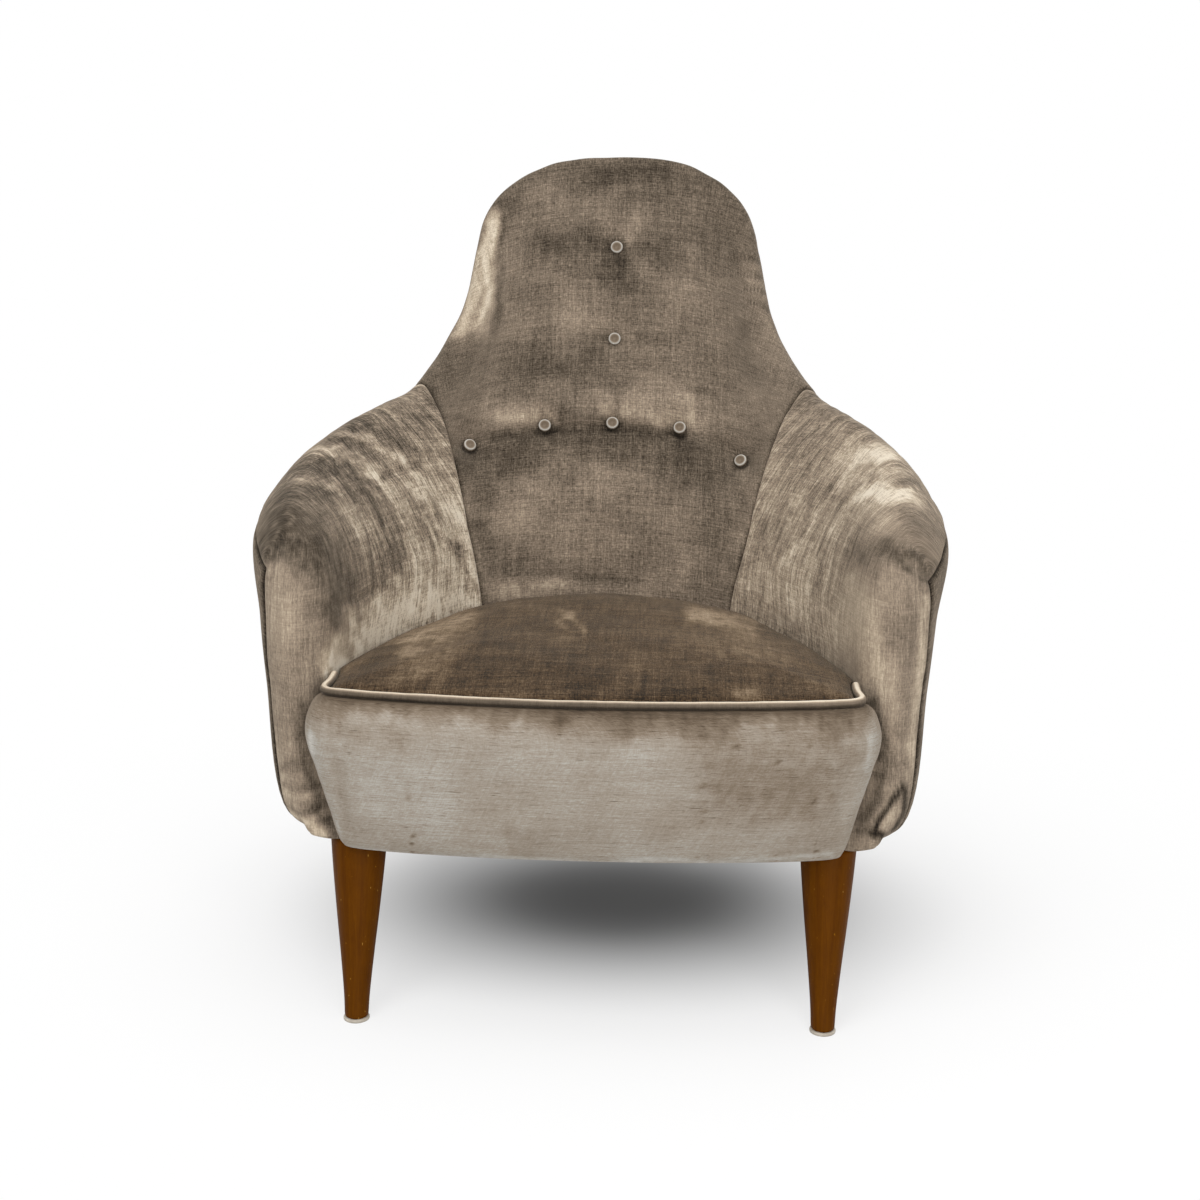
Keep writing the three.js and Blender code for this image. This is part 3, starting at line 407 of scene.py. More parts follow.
SEAT_FOLDS = [
    (-1.0, 4, [(545, 628), (570, 622), (585, 632)]),
    (-1.2, 6, [(405, 648), (440, 640), (470, 628)]),
    (-1.0, 5, [(395, 668), (430, 660), (462, 640)]),
]
BACK_STROKES = [
    (82, 0.8, 22, [(505, 200), (530, 180), (570, 168), (617, 165), (665, 168), (705, 182),
                  (735, 205)]),
    (84, 0.5, 10, [(505, 196), (540, 174), (575, 166)]),
    (128, 0.5, 28, [(530, 215), (565, 205)]),
    (88, 0.6, 34, [(655, 205), (710, 225), (725, 250)]),
    (72, 0.85, 15, [(548, 243), (585, 240), (612, 247)]),
    (78, 0.7, 13, [(628, 250), (668, 250)]),
    (68, 0.85, 14, [(610, 262), (622, 280)]),
    (144, 0.7, 10, [(638, 218), (626, 240)]),
    (124, 0.7, 18, [(560, 300), (610, 306), (660, 290), (700, 292)]),
    (144, 0.5, 8, [(590, 322), (560, 318)]),
    (200, 1.0, 8, [(494, 214), (486, 240), (478, 270), (470, 300), (464, 330)]),
    (216, 1.0, 7, [(495, 226), (490, 262), (486, 300), (480, 332)]),
    (190, 0.9, 9, [(458, 330), (470, 332), (486, 334)]),
    (88, 0.9, 4, [(504, 218), (501, 262), (498, 300), (495, 338)]),
    (106, 0.8, 13, [(450, 354), (480, 346), (520, 344)]),
    (78, 0.9, 24, [(414, 392), (440, 386), (458, 374)]),
    (100, 0.6, 15, [(812, 392), (795, 378)]),
    (100, 0.6, 26, [(455, 375), (520, 365)]),
    (152, 0.6, 8, [(598, 322), (612, 330)]),
    (92, 0.7, 6, [(575, 340), (608, 343)]),
    (84, 0.7, 5, [(640, 338), (668, 342)]),
    (82, 0.75, 24, [(540, 365), (600, 372)]),
    (104, 0.5, 22, [(640, 365), (700, 350)]),
    # painted highlight on the bulge above the row of buttons (this and the next two strokes)
    (148, 0.75, 15, [(600, 396), (650, 399), (690, 404)]),
    (176, 0.9, 9, [(604, 412), (650, 417), (690, 421)]),
    (158, 0.9, 8, [(502, 419), (530, 415), (554, 415)]),
    # painted shade in the crease of the row of buttons and below it (this and the next three
    # strokes)
    (80, 0.9, 24, [(470, 470), (520, 464), (580, 456), (640, 458), (705, 466)]),
    (76, 0.85, 9, [(466, 457), (500, 447), (545, 439), (580, 439), (613, 437), (680, 442),
                  (715, 451)]),
    (56, 0.85, 3.5, [(494, 439), (545, 430), (580, 430), (613, 428), (645, 432), (684, 436)]),
    (136, 0.6, 30, [(500, 505), (560, 500), (620, 490)]),
    (138, 0.4, 20, [(520, 540), (600, 545)]),
    (92, 0.65, 22, [(712, 470), (715, 540), (705, 590)]),
    (96, 0.6, 24, [(740, 400), (755, 440)]),
    (116, 0.4, 20, [(650, 540), (690, 560)]),
    (84, 0.7, 10, [(483, 480), (484, 530), (492, 570)]),
    (104, 0.4, 14, [(500, 565), (560, 570)]),
    (164, 0.8, 9, [(492, 592), (530, 590), (570, 586)]),
    (142, 0.6, 10, [(580, 590), (640, 592)]),
    (144, 0.6, 12, [(752, 270), (762, 300), (768, 330)]),
    (104, 0.5, 16, [(735, 225), (745, 245)]),
    # painted shade in the small folds at the right (this and the next three strokes)
    (76, 0.85, 2, [(733, 256), (752, 259), (768, 262)]),
    (78, 0.85, 2, [(738, 273), (754, 275), (770, 280)]),
    (80, 0.85, 2, [(744, 289), (757, 290), (772, 296)]),
    (82, 0.85, 2, [(748, 302), (760, 305), (774, 311)]),
    (82, 0.7, 2, [(478, 346), (500, 345), (540, 347)]),
    # painted shade in the upright crease and in the low fold (this and the next stroke)
    (98, 0.5, 3, [(619, 350), (617, 380), (614, 415)]),
    (90, 0.6, 3, [(500, 572), (560, 576), (640, 580)]),
]
LEFT_STROKES = [
    (60, 0.9, 40, [(268, 540), (280, 490), (312, 458), (350, 432)]),
    (78, 0.65, 22, [(300, 505), (330, 470), (370, 448), (405, 436)]),
    (116, 0.6, 18, [(395, 408), (440, 400), (460, 430)]),
    (178, 0.8, 6, [(300, 452), (340, 450), (375, 468), (400, 505), (414, 550), (420, 595)]),
    (184, 0.8, 6, [(330, 433), (372, 442), (408, 465), (432, 500), (448, 545), (462, 575)]),
    (152, 0.6, 8, [(395, 425), (430, 450), (452, 490), (462, 530)]),
    (158, 0.7, 6, [(290, 480), (325, 482), (350, 505), (366, 550), (372, 590)]),
    (104, 0.6, 7, [(310, 470), (350, 478), (378, 515), (395, 570)]),
    (110, 0.6, 6, [(350, 440), (395, 470), (420, 510), (436, 560)]),
    # painted shade in a fold
    (84, 0.8, 4, [(382, 478), (415, 466), (447, 453)]),
    # painted shade where the top of the arm turns down into its front
    (66, 0.95, 21, [(315, 540), (332, 570), (338, 602)]),
    (80, 0.85, 16, [(328, 612), (352, 632)]),
    # painted shade in a fold
    (80, 0.8, 5, [(326, 607), (352, 600), (388, 588)]),
    (80, 0.85, 13, [(394, 552), (384, 590)]),
    (204, 0.85, 30, [(462, 500), (470, 550), (480, 590)]),
    (198, 0.8, 26, [(425, 480), (446, 510), (460, 545)]),
    # pale pile, raised further to stand in for light on the inside of the arm by the seat: partly
    # painted light (this and the next stroke)
    (250, 1.0, 31, [(395, 622), (440, 600), (480, 586)]),
    (240, 0.95, 18, [(330, 666), (366, 642), (400, 622)]),
    (192, 0.6, 10, [(395, 575), (400, 600)]),
    (170, 0.6, 14, [(450, 560), (470, 590)]),
    # painted shade in a fold
    (98, 0.6, 4, [(438, 535), (452, 546), (466, 553)]),
    (158, 0.85, 26, [(282, 600), (285, 660), (278, 730)]),
    (168, 0.7, 10, [(262, 572), (285, 575)]),
    (126, 0.5, 14, [(312, 640), (308, 690)]),
    (120, 0.6, 12, [(296, 650), (290, 690), (288, 720)]),
    (134, 0.6, 8, [(268, 690), (272, 720)]),
    # painted shade beside the border
    (84, 0.9, 10, [(304, 715), (304, 760), (316, 800), (330, 835)]),
    # painted highlight along the outer edge of the arm front
    (190, 0.9, 8, [(266, 745), (276, 785), (296, 820), (320, 835)]),
    (130, 0.5, 6, [(254, 520), (262, 490)]),
]
RIGHT_STROKES = [
    (106, 0.75, 20, [(810, 400), (850, 415), (890, 440)]),
    (100, 0.6, 18, [(905, 470), (930, 510)]),
    # painted highlight on the top of the arm roll (this and the next two strokes)
    (236, 1.0, 10, [(842, 462), (870, 450), (905, 452)]),
    (244, 1.0, 12, [(858, 497), (885, 490), (915, 496)]),
    (190, 0.7, 6, [(848, 478), (880, 470), (912, 474)]),
    (198, 0.7, 8, [(878, 525), (895, 520)]),
    (106, 0.6, 13, [(908, 520), (932, 534)]),
    (160, 0.6, 8, [(815, 480), (845, 455)]),
    (164, 0.75, 28, [(765, 480), (780, 540), (795, 600)]),
    (178, 0.85, 24, [(810, 520), (828, 580), (848, 622)]),
    (186, 0.65, 18, [(768, 584), (800, 603), (830, 622)]),
    (108, 0.6, 5, [(790, 500), (778, 550)]),
    (108, 0.6, 4, [(812, 490), (800, 540)]),
    (106, 0.6, 4, [(826, 540), (815, 590)]),
    (112, 0.6, 5, [(760, 520), (770, 570)]),
    (168, 0.6, 5, [(800, 470), (785, 530)]),
    (96, 0.7, 14, [(852, 540), (868, 560)]),
    # painted shade in a fold (this and the next stroke)
    (84, 0.85, 12, [(885, 548), (915, 555), (930, 570)]),
    (74, 0.7, 4, [(895, 560), (928, 582)]),
    (116, 0.6, 16, [(905, 590), (905, 640), (900, 700)]),
    (180, 0.85, 18, [(862, 610), (876, 670), (886, 720)]),
    (196, 0.85, 5, [(924, 600), (920, 660), (916, 720), (912, 770)]),
    (128, 0.5, 14, [(885, 740), (895, 770)]),
    # painted shade beside the border
    (86, 0.8, 7, [(872, 705), (884, 745), (880, 790), (862, 830)]),
    (188, 0.8, 6, [(896, 806), (886, 826)]),
    (32, 1.0, 2.8, [(904, 786), (891, 802), (880, 820), (874, 836)]),
    (42, 0.95, 2.8, [(906, 790), (904, 814), (893, 832)]),
    (34, 1.0, 4, [(872, 834), (886, 838)]),
]
SEAT_STROKES = [
    (84, 0.6, 18, [(520, 610), (600, 604), (680, 608)]),
    # painted sheen: a pale band at the back left of the seat
    (250, 1.0, 11, [(402, 640), (435, 626), (465, 616)]),
    (142, 0.7, 6, [(410, 652), (440, 640), (470, 632)]),
    (118, 0.6, 10, [(398, 680), (425, 665), (450, 650)]),
    (116, 0.5, 6, [(430, 690), (450, 672)]),
    (236, 1.0, 9, [(696, 612), (724, 617), (752, 627)]),
    (116, 0.6, 14, [(690, 640), (740, 645)]),
    (126, 0.6, 14, [(745, 645), (785, 658)]),
    (126, 0.6, 6, [(735, 690), (755, 693)]),
    (110, 0.5, 12, [(800, 665), (830, 690)]),
    (156, 0.8, 3, [(560, 612), (575, 618), (585, 630)]),
    (156, 0.8, 3, [(566, 628), (558, 622), (572, 614)]),
    (70, 0.6, 14, [(340, 690), (420, 694), (560, 697)]),
    (72, 0.5, 12, [(600, 650), (680, 665)]),
    (110, 0.6, 4, [(345, 668), (390, 640), (440, 618)]),
]
BORDER_STROKES = [
    (118, 0.65, 13, [(350, 732), (395, 740)]),
    (118, 0.65, 14, [(560, 728), (610, 732), (640, 728)]),
    (122, 0.6, 14, [(690, 728), (720, 735)]),
    (124, 0.65, 18, [(800, 732), (850, 745)]),
    (174, 0.5, 40, [(360, 780), (430, 790)]),
    # painted highlight along the left edge
    (192, 0.7, 5, [(311, 735), (314, 770), (323, 800), (337, 835)]),
    # painted shade in the fold at the left
    (140, 0.5, 6, [(332, 740), (342, 780), (348, 820)]),
    (122, 0.6, 14, [(840, 735), (850, 760)]),
    (138, 0.5, 14, [(825, 780), (815, 810)]),
    # painted highlight along the right edge
    (184, 0.6, 5, [(872, 738), (868, 765)]),
    (134, 0.6, 12, [(505, 830), (520, 845)]),
    (122, 0.7, 44, [(735, 790), (815, 785)]),
    (190, 0.6, 3, [(350, 850), (450, 857), (600, 862), (750, 861), (830, 854)]),
]


# Meshes
def add_object(name, mesh):
    piece = bpy.data.objects.new(name, mesh)
    bpy.context.scene.collection.objects.link(piece)
    return piece


def make_piece(name, points, faces, looks, tone=None, weave=None, crush=None):
    """An object in metres from places in millimetres, smooth shaded. For each vertex, tone is the
    pile's, with its painted shade and highlights, from 0 to 255, weave a flat place on the cloth in
    metres and crush the share of marks."""
    mesh = bpy.data.meshes.new(name)
    mesh.from_pydata((np.asarray(points) * METRE).tolist(), [], [list(map(int, f)) for f in faces])
    mesh.polygons.foreach_set("use_smooth", np.ones(len(mesh.polygons), bool))
    if tone is not None:
        layer = mesh.attributes.new("pile_and_shading", "FLOAT", "POINT")
        layer.data.foreach_set("value", (np.asarray(tone) / 255).astype(np.float32))
        share = np.ones(len(points)) if crush is None else np.asarray(crush)
        layer = mesh.attributes.new("crush", "FLOAT", "POINT")
        layer.data.foreach_set("value", share.astype(np.float32))
    if weave is not None:
        corner = np.zeros(len(mesh.loops), np.int32)
        mesh.loops.foreach_get("vertex_index", corner)
        layer = mesh.uv_layers.new(name="weave")
        layer.data.foreach_set("uv", np.asarray(weave, np.float32)[corner].ravel())
    mesh.update()
    mesh.materials.append(looks)
    return add_object(name, mesh)


def attach(piece, node):
    """Let the piece stand for a node of the frame, on the one body that there is."""
    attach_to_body(piece, "root")
    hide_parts(node)


def lone_edges(faces):
    """The directed edges that only one face uses."""
    starts = faces.ravel()
    ends = np.roll(faces, -1, 1).ravel()
    many = max(starts.max(), ends.max()) + 1
    key = np.minimum(starts, ends) * many + np.maximum(starts, ends)
    _, index, count = np.unique(key, return_index=True, return_counts=True)
    alone = index[count == 1]
    return starts[alone], ends[alone]


def inside_thickness(station, rail):
    """The padding of the inside covers, thinner over the ridge and round the arm front."""
    from_nose = np.minimum(station, LAST_STATION - station)
    on_roll = smooth(rail, 2.4, 3.8)
    on_edge = np.clip(rail - RIDGE, 0, 1)
    body = BACK_PAD + (ROLL_PAD - BACK_PAD) * on_roll
    wall = body + (EDGE_PAD - body) * on_edge
    nose = np.where(rail > CREST, EDGE_PAD, np.minimum(wall, NOSE_PAD))
    fade = np.clip((from_nose - CORNER) / 2, 0, 1)
    return nose + (wall - nose) * fade


LEFT_ARM_CRUSH = 1.3     # the left arm is more marked than the right one


def arm_weave(stations, grid, arc, rise):
    """Where the weave runs on an arm: flat across its front face, and along the wall behind it."""
    seat = int(np.argmin(abs(arm_rails - 1)))
    up_wall = rise - rise[:, seat:seat + 1] + grid[:, seat:seat + 1, 2] - BASE_HEIGHT
    wall = np.stack([arc, up_wall], 2)
    across = NOSE_MIDDLE * HALF_WIDTH - abs(grid[:, :, 0])
    front = np.stack([across, grid[:, :, 2] - BASE_HEIGHT], 2)
    return front + (wall - front) * smooth(stations, 1.0, 2.5)[:, None, None]


def distance_to(marks, points):
    """Distance of each point to the nearest mark."""
    tree = kdtree.KDTree(len(marks))
    for k, mark in enumerate(marks):
        tree.insert(mark, k)
    tree.balance()
    return np.array([tree.find(point)[2] for point in points])


def make_cover(name, stations, rails, holds, thickness, relief, paint, looks, dip, side=1,
               lay=None):
    """A closed pad or panel over the part of the tub that holds tells. relief gives the outer face
    its height and paint its tone; dip is (depth, width) of the rolled edge at its seams; lay places
    the weave."""
    grid = tub(stations, rails) * np.array([side, 1, 1])
    out = side * np.cross(np.gradient(grid, axis=1), np.gradient(grid, axis=0))
    arc = np.linalg.norm(np.diff(grid, axis=0), axis=2)
    arc = np.concatenate([np.zeros((1, len(rails))), np.cumsum(arc, 0)])
    rise = np.linalg.norm(np.diff(grid, axis=1), axis=2)
    rise = np.concatenate([np.zeros((len(stations), 1)), np.cumsum(rise, 1)], 1)
    weave = np.stack([arc - arc[-1:] / 2, rise - rise[:, :1]], 2)
    if lay is not None:
        weave = lay(stations, grid, arc, rise)
    weave *= METRE
    ids = np.arange(grid.shape[0] * grid.shape[1]).reshape(grid.shape[:2])
    if stations[0] == 0:
        half = len(rails) // 2
        ids[0, half + 1:] = ids[0, :half][::-1]
    mid_station = (stations[1:] + stations[:-1]) / 2
    mid_rail = (rails[1:] + rails[:-1]) / 2
    cells = holds(mid_station[:, None], mid_rail[None, :])
    quads = np.stack([ids[:-1, :-1], ids[:-1, 1:], ids[1:, 1:], ids[1:, :-1]], 2)[cells]
    if side < 0:
        quads = quads[:, ::-1]
    normals = np.zeros((grid.shape[0] * grid.shape[1], 3))
    np.add.at(normals, ids.ravel(), unit(out).reshape(-1, 3))
    used, index = np.unique(quads, return_inverse=True)
    quads = index.reshape(quads.shape)
    points = grid.reshape(-1, 3)[used]
    normals = unit(normals[used])
    weave = weave.reshape(-1, 2)[used]
    wide_station = np.repeat(stations, len(rails))[used]
    wide_rail = np.tile(rails, len(stations))[used]

    starts, ends = lone_edges(quads)
    rim = np.unique(starts)
    middles = points[quads].mean(1)
    inward = np.zeros_like(points)
    for k in range(4):
        np.add.at(inward, quads[:, k], middles - points[quads[:, k]])
    base = points.copy()
    base[rim] += unit(inward[rim]) * SEAM_GAP

    sewn = rim[wide_rail[rim] > SKIRT + 0.01] if rails[0] < SKIRT else rim
    away = distance_to(points[sewn], points)
    depth, width = dip
    height = -depth * np.clip(1 - away / width, 0, 1) ** 2
    height += relief(points, normals, away)
    outer = base + normals * height[:, None]
    inner = base - normals * thickness(wide_station, wide_rail)[:, None]
    count = len(points)
    walls = np.stack([ends, starts, starts + count, ends + count], 1)
    faces = np.concatenate([quads, quads[:, ::-1] + count, walls])
    tone = paint(outer, normals, away)
    crush = np.ones(count)
    if lay is not None:
        crush = 0.1 + 0.9 * smooth(wide_station, 1.2, 3)
        crush *= LEFT_ARM_CRUSH if side < 0 else 1
    points, tone, weave, crush = (
        np.concatenate(pair)
        for pair in [(outer, inner), (tone, tone), (weave, weave), (crush, crush)])
    piece = make_piece(name, points, faces, looks, tone, weave, crush)
    attach(piece, name)


def rings_piece(name, rings, looks, tone=None, weave=None, end=None):
    """A closed body through rings (rings, places, 3), each end closed by a fan."""
    count, size = rings.shape[:2]
    points = rings.reshape(-1, 3)
    k = np.arange(size)
    after = (k + 1) % size
    rows = np.arange(count - 1)[:, None] * size
    quads = np.stack([rows + k, rows + after, rows + size + after, rows + size + k], 2)
    quads = quads.reshape(-1, 4)
    first = len(points)
    caps = [rings[0].mean(0), rings[-1].mean(0) if end is None else end]
    points = np.concatenate([points, caps])
    last = (count - 1) * size
    fans = np.concatenate([
        np.stack([np.full(size, first), after, k], 1),
        np.stack([np.full(size, first + 1), last + k, last + after], 1),
    ])
    faces = quads.tolist() + fans.tolist()
    a, b, c, d = (points[quads[:, n]] for n in range(4))
    volume = (a * np.cross(b, c)).sum() + (a * np.cross(c, d)).sum()
    volume += sum((points[f[0]] * np.cross(points[f[1]], points[f[2]])).sum() for f in fans)
    if volume < 0:
        faces = [face[::-1] for face in faces]
    if tone is not None:
        tone = np.concatenate([tone, [tone[:size].mean(), tone[-size:].mean()]])
    if weave is not None:
        weave = np.concatenate([weave, [weave[:size].mean(0), weave[-size:].mean(0)]])
    return make_piece(name, points, faces, looks, tone, weave)


def ring_normals(rings):
    """Normals of the surface through the rings, all to the same side of it."""
    along = np.gradient(rings, axis=0)
    around = np.roll(rings, -1, 1) - np.roll(rings, 1, 1)
    return unit(np.cross(around, along))


def turns(sides):
    """Angles of the places round a circle."""
    return np.arange(sides) * 2 * math.pi / sides


def circle(turn, across, over):
    """Places round a circle of radius 1 that two directions span."""
    return np.cos(turn)[:, None] * across + np.sin(turn)[:, None] * over


# Materials
def colour(red, green, blue):
    """A colour given as in the picture, from 0 to 255, as the shader wants it."""
    def straight(value):
        value /= 255
        return value / 12.92 if value <= 0.04045 else ((value + 0.055) / 1.055) ** 2.4
    return (straight(red), straight(green), straight(blue), 1)


class Tree:
    """Short ways to add nodes to a node tree."""

    def __init__(self, tree):
        self.nodes = tree.nodes
        self.links = tree.links

    def link(self, source, target):
        """Join a socket to an input, or set the input to a value."""
        if hasattr(source, "is_output"):
            self.links.new(source, target)
        else:
            target.default_value = source

    def node(self, kind, inputs=(), **values):
        """A node with the given properties, and (input, socket or value) for its inputs."""
        made = self.nodes.new(kind)
        for name, value in values.items():
            setattr(made, name, value)
        for name, source in inputs:
            self.link(source, made.inputs[name])
        return made

    def maths(self, operation, total, *others):
        """One operation over all the values, from the first to the last."""
        for other in others:
            inputs = [(0, total), (1, other)]
            total = self.node("ShaderNodeMath", inputs, operation=operation).outputs[0]
        return total

    def add(self, *values):
        return self.maths("ADD", *values)

    def times(self, first, second):
        return self.maths("MULTIPLY", first, second)

    def ramp(self, value, stops, interpolation="LINEAR"):
        made = self.node("ShaderNodeValToRGB", [(0, value)])
        made.color_ramp.interpolation = interpolation
        elements = made.color_ramp.elements
        while len(elements) < len(stops):
            elements.new(0.5)
        for element, (at, tint) in zip(elements, stops):
            element.position = at
            element.color = tint
        return made.outputs[0]

    def seen_directly(self):
        """1 for what the camera sees, also in a gloss or through glass, and 0 for other light."""
        ray = self.node("ShaderNodeLightPath").outputs
        return self.maths(
            "MAXIMUM", ray["Is Camera Ray"], ray["Is Glossy Ray"], ray["Is Transmission Ray"])


class Looks(Tree):
    """A material on the Principled shader."""

    def __init__(self, name):
        self.material = bpy.data.materials.new(name)
        self.material.use_nodes = True
        super().__init__(self.material.node_tree)
        self.shader = self.nodes["Principled BSDF"]

    def noise(self, kind, scale, detail=2.0, rough=0.5, warp=0.0):
        """Noise around 0, with scale given for each direction in bumps for a metre."""
        if kind == "weave":
            place = self.node("ShaderNodeUVMap", uv_map="weave").outputs[0]
        else:
            place = self.node("ShaderNodeTexCoord").outputs["Object"]
        scaled = self.node("ShaderNodeMapping", [(0, place), ("Scale", scale)])
        made = self.node("ShaderNodeTexNoise", [
            ("Vector", scaled.outputs[0]), ("Scale", 1), ("Detail", detail), ("Roughness", rough),
            ("Distortion", warp),
        ])
        return self.maths("SUBTRACT", made.outputs["Fac"], 0.5)

    def bump(self, height, distance, strength=1.0, before=None):
        inputs = [("Strength", strength), ("Distance", distance), ("Height", height)]
        if before is not None:
            inputs.append(("Normal", before))
        return self.node("ShaderNodeBump", inputs).outputs[0]

    def finish(self, **values):
        for name, value in values.items():
            self.link(value, self.shader.inputs[name.replace("_", " ")])
        return self.material


def stops(*tints):
    """Colours for a ramp, each (tone from 0 to 255, colour)."""
    return [(at / 255, colour(*tint)) for at, tint in tints]


TAUPE = stops(
    (30, (30, 25, 19)), (60, (64, 55, 45)), (95, (99, 88, 75)), (130, (136, 121, 105)),
    (165, (169, 152, 132)), (200, (203, 186, 162)), (240, (238, 226, 206)),
)
BROWN = stops(
    (30, (31, 24, 16)), (60, (68, 52, 36)), (85, (95, 77, 57)), (120, (130, 111, 88)),
    (165, (170, 150, 126)), (220, (215, 198, 172)),
)
SILVER = stops(
    (40, (42, 35, 27)), (90, (98, 84, 69)), (125, (133, 119, 103)), (155, (161, 151, 138)),
    (180, (183, 179, 171)), (225, (224, 220, 212)),
)


def velvet(name, tints, cloud, mark, slub, thread, fleck=0.0, level=(1.0, 1.0)):
    """Crushed velvet: the pile's tone with its painted shade and highlights, clouds, brush marks, a
    fine cross weave, long threads and sparse dark flecks. level is the share of the marks along the
    cloth's width and its height."""
    looks = Looks(name)
    pile_and_shading = looks.node("ShaderNodeAttribute", attribute_name="pile_and_shading").outputs["Fac"]
    crush = looks.node("ShaderNodeAttribute", attribute_name="crush").outputs["Fac"]
    clouds = looks.noise("object", (15, 15, 15), 7, 0.66, warp=0.5)
    rising = looks.noise("weave", (80, 12, 1), 7, 0.72, warp=0.6)
    level_marks = looks.noise("weave", (12, 80, 1), 7, 0.72, warp=0.6)
    warp = looks.noise("weave", (800, 150, 1), 3, 0.75)
    weft = looks.noise("weave", (150, 800, 1), 3, 0.75)
    long_warp = looks.noise("weave", (420, 14, 1), 2, 0.7)
    long_weft = looks.noise("weave", (14, 420, 1), 2, 0.7)

    def both(level_noise, rising_noise, amount):
        across = looks.times(level_noise, amount * level[0])
        return looks.add(across, looks.times(rising_noise, amount * level[1]))

    marks = looks.times(both(level_marks, rising, mark), crush)
    cloth = looks.add(both(weft, warp, slub), both(long_weft, long_warp, thread))
    cloth = looks.times(cloth, looks.add(looks.times(crush, 0.6), 0.4))
    if fleck:
        slubs = looks.noise("weave", (45, 700, 1), 3, 0.6, warp=0.3)
        slubs = looks.maths("MAXIMUM", looks.maths("SUBTRACT", slubs, 0.13), 0)
        cloth = looks.maths("SUBTRACT", cloth, looks.times(slubs, fleck))
    spread = looks.times(looks.maths("MAXIMUM", crush, 0.4), cloud)
    total = looks.add(pile_and_shading, looks.times(clouds, spread), marks, cloth)
    threads = looks.bump(cloth, 0.0012)
    return looks.finish(
        Base_Color=looks.ramp(total, tints),
        Roughness=0.88,
        Normal=looks.bump(marks, 0.003, 0.5, threads),
        Sheen_Weight=0.25,
        Sheen_Roughness=0.4,
        Sheen_Tint=colour(214, 200, 180),
        Specular_IOR_Level=0.15,
    )


wall_velvet = velvet("wall_velvet", TAUPE, 0.28, 0.16, 0.62, 0.28, 0.6)
arm_velvet = velvet("arm_velvet", TAUPE, 0.36, 0.66, 0.84, 0.50, 0.6, (0.6, 1.3))
seat_velvet = velvet("seat_velvet", BROWN, 0.22, 0.34, 0.52, 0.24, 0.3)
border_velvet = velvet("border_velvet", SILVER, 0.07, 0.05, 0.22, 0.12, 2.0, (1.4, 0.6))
piping_velvet = velvet("piping_velvet", TAUPE, 0.12, 0.14, 0.16, 0.05)
button_velvet = velvet("button_velvet", SILVER, 0.06, 0.10, 0.14, 0.05)


def wood(name, tints, grain, size, rough):
    """Stained wood with its grain along the piece, worn in patches and with small pale chips."""
    looks = Looks(name)
    rings = looks.noise("weave", (size * 9, size, 1), 4, 0.6, warp=0.4)
    fine = looks.noise("weave", (size * 60, size * 2.2, 1), 3, 0.7)
    wear = looks.noise("object", (40, 40, 40), 5, 0.7)
    chips = looks.maths("GREATER_THAN", looks.noise("object", (330, 330, 120), 2, 0.5), 0.235)
    total = looks.add(
        looks.times(rings, grain), looks.times(fine, grain * 0.7), looks.times(wear, grain * 0.5),
        looks.times(chips, 0.36), 0.5)
    return looks.finish(
        Base_Color=looks.ramp(total, tints),
        Roughness=looks.add(looks.times(wear, 0.35), rough),
        Normal=looks.bump(looks.add(fine, rings), 0.0006, 0.5),
        Specular_IOR_Level=0.05,
    )


leg_wood = wood(
    "leg_wood",
    [(0.2, colour(50, 22, 0)), (0.42, colour(82, 43, 0)), (0.6, colour(98, 55, 0)),
     (0.85, colour(138, 90, 12)), (0.98, colour(204, 160, 84))],
    0.42, 12, 0.5,
)


def plain(name, dark, pale, scale, amount, rough, **values):
    """A material for the inner pieces: colour, roughness and bump all vary over the surface."""
    looks = Looks(name)
    value = looks.noise("object", scale, 4, 0.6, warp=0.3)
    tints = [(0.3, colour(*dark)), (0.7, colour(*pale))]
    return looks.finish(
        Base_Color=looks.ramp(looks.add(looks.times(value, amount), 0.5), tints),
        Roughness=looks.add(looks.times(value, 0.3), rough),
        Normal=looks.bump(value, 0.0008, 0.5),
        **values,
    )


frame_wood = plain("frame_wood", (176, 138, 92), (222, 190, 142), (90, 90, 12), 1.2, 0.7)
steel = plain("steel", (120, 122, 124), (176, 178, 180), (120, 120, 120), 1.0, 0.36, Metallic=1.0)
jute = plain("jute", (126, 102, 66), (182, 154, 108), (500, 500, 500), 1.4, 0.92)
glide_plastic = plain("glide_plastic", (170, 160, 146), (206, 198, 184), (60, 60, 60), 1.0, 0.5)
dust_cloth = plain("dust_cloth", (34, 33, 32), (58, 57, 55), (700, 700, 700), 1.4, 0.95)
# dark cloth put on the front blocks and rail so that the slits beside the border read as shade:
# painted shade
shade_lining = plain("shade_lining", (52, 43, 34), (84, 71, 58), (600, 600, 600), 1.4, 0.95)


# Stage: a white floor that keeps the chair's shadow, deepened by painted shadow under the chair,
# and soft even light
FLOOR_SIZE = 12.0
# the floor's colour as seen, from under the chair outwards: painted shadow
FLOOR_PAINTED_SHADOW = [(0, 0.3), (0.12, 0.3), (0.22, 0.5), (0.36, 1)]
FLOOR_FADE = [(0, 0), (0.1, 0), (0.18, 0.2), (0.27, 0.46), (0.36, 0.64), (0.46, 0.8), (0.64, 0.93),
              (0.9, 1)]
FLOOR_GREY = (0.72, 0.72, 0.72, 1)
ROOM_LIGHT = 0.42
LAMP_AIM = Vector((0, 0, 0.45))
LAMPS = [
    ("key", (-1.2, -2.3, 3.3), 2.6, 56),
    ("front", (0.9, -3.2, 1.5), 2.2, 46),
    ("top", (0.2, 0.4, 3.6), 2.6, 32),
    ("back", (1.0, 3.2, 2.0), 2.6, 26),
]


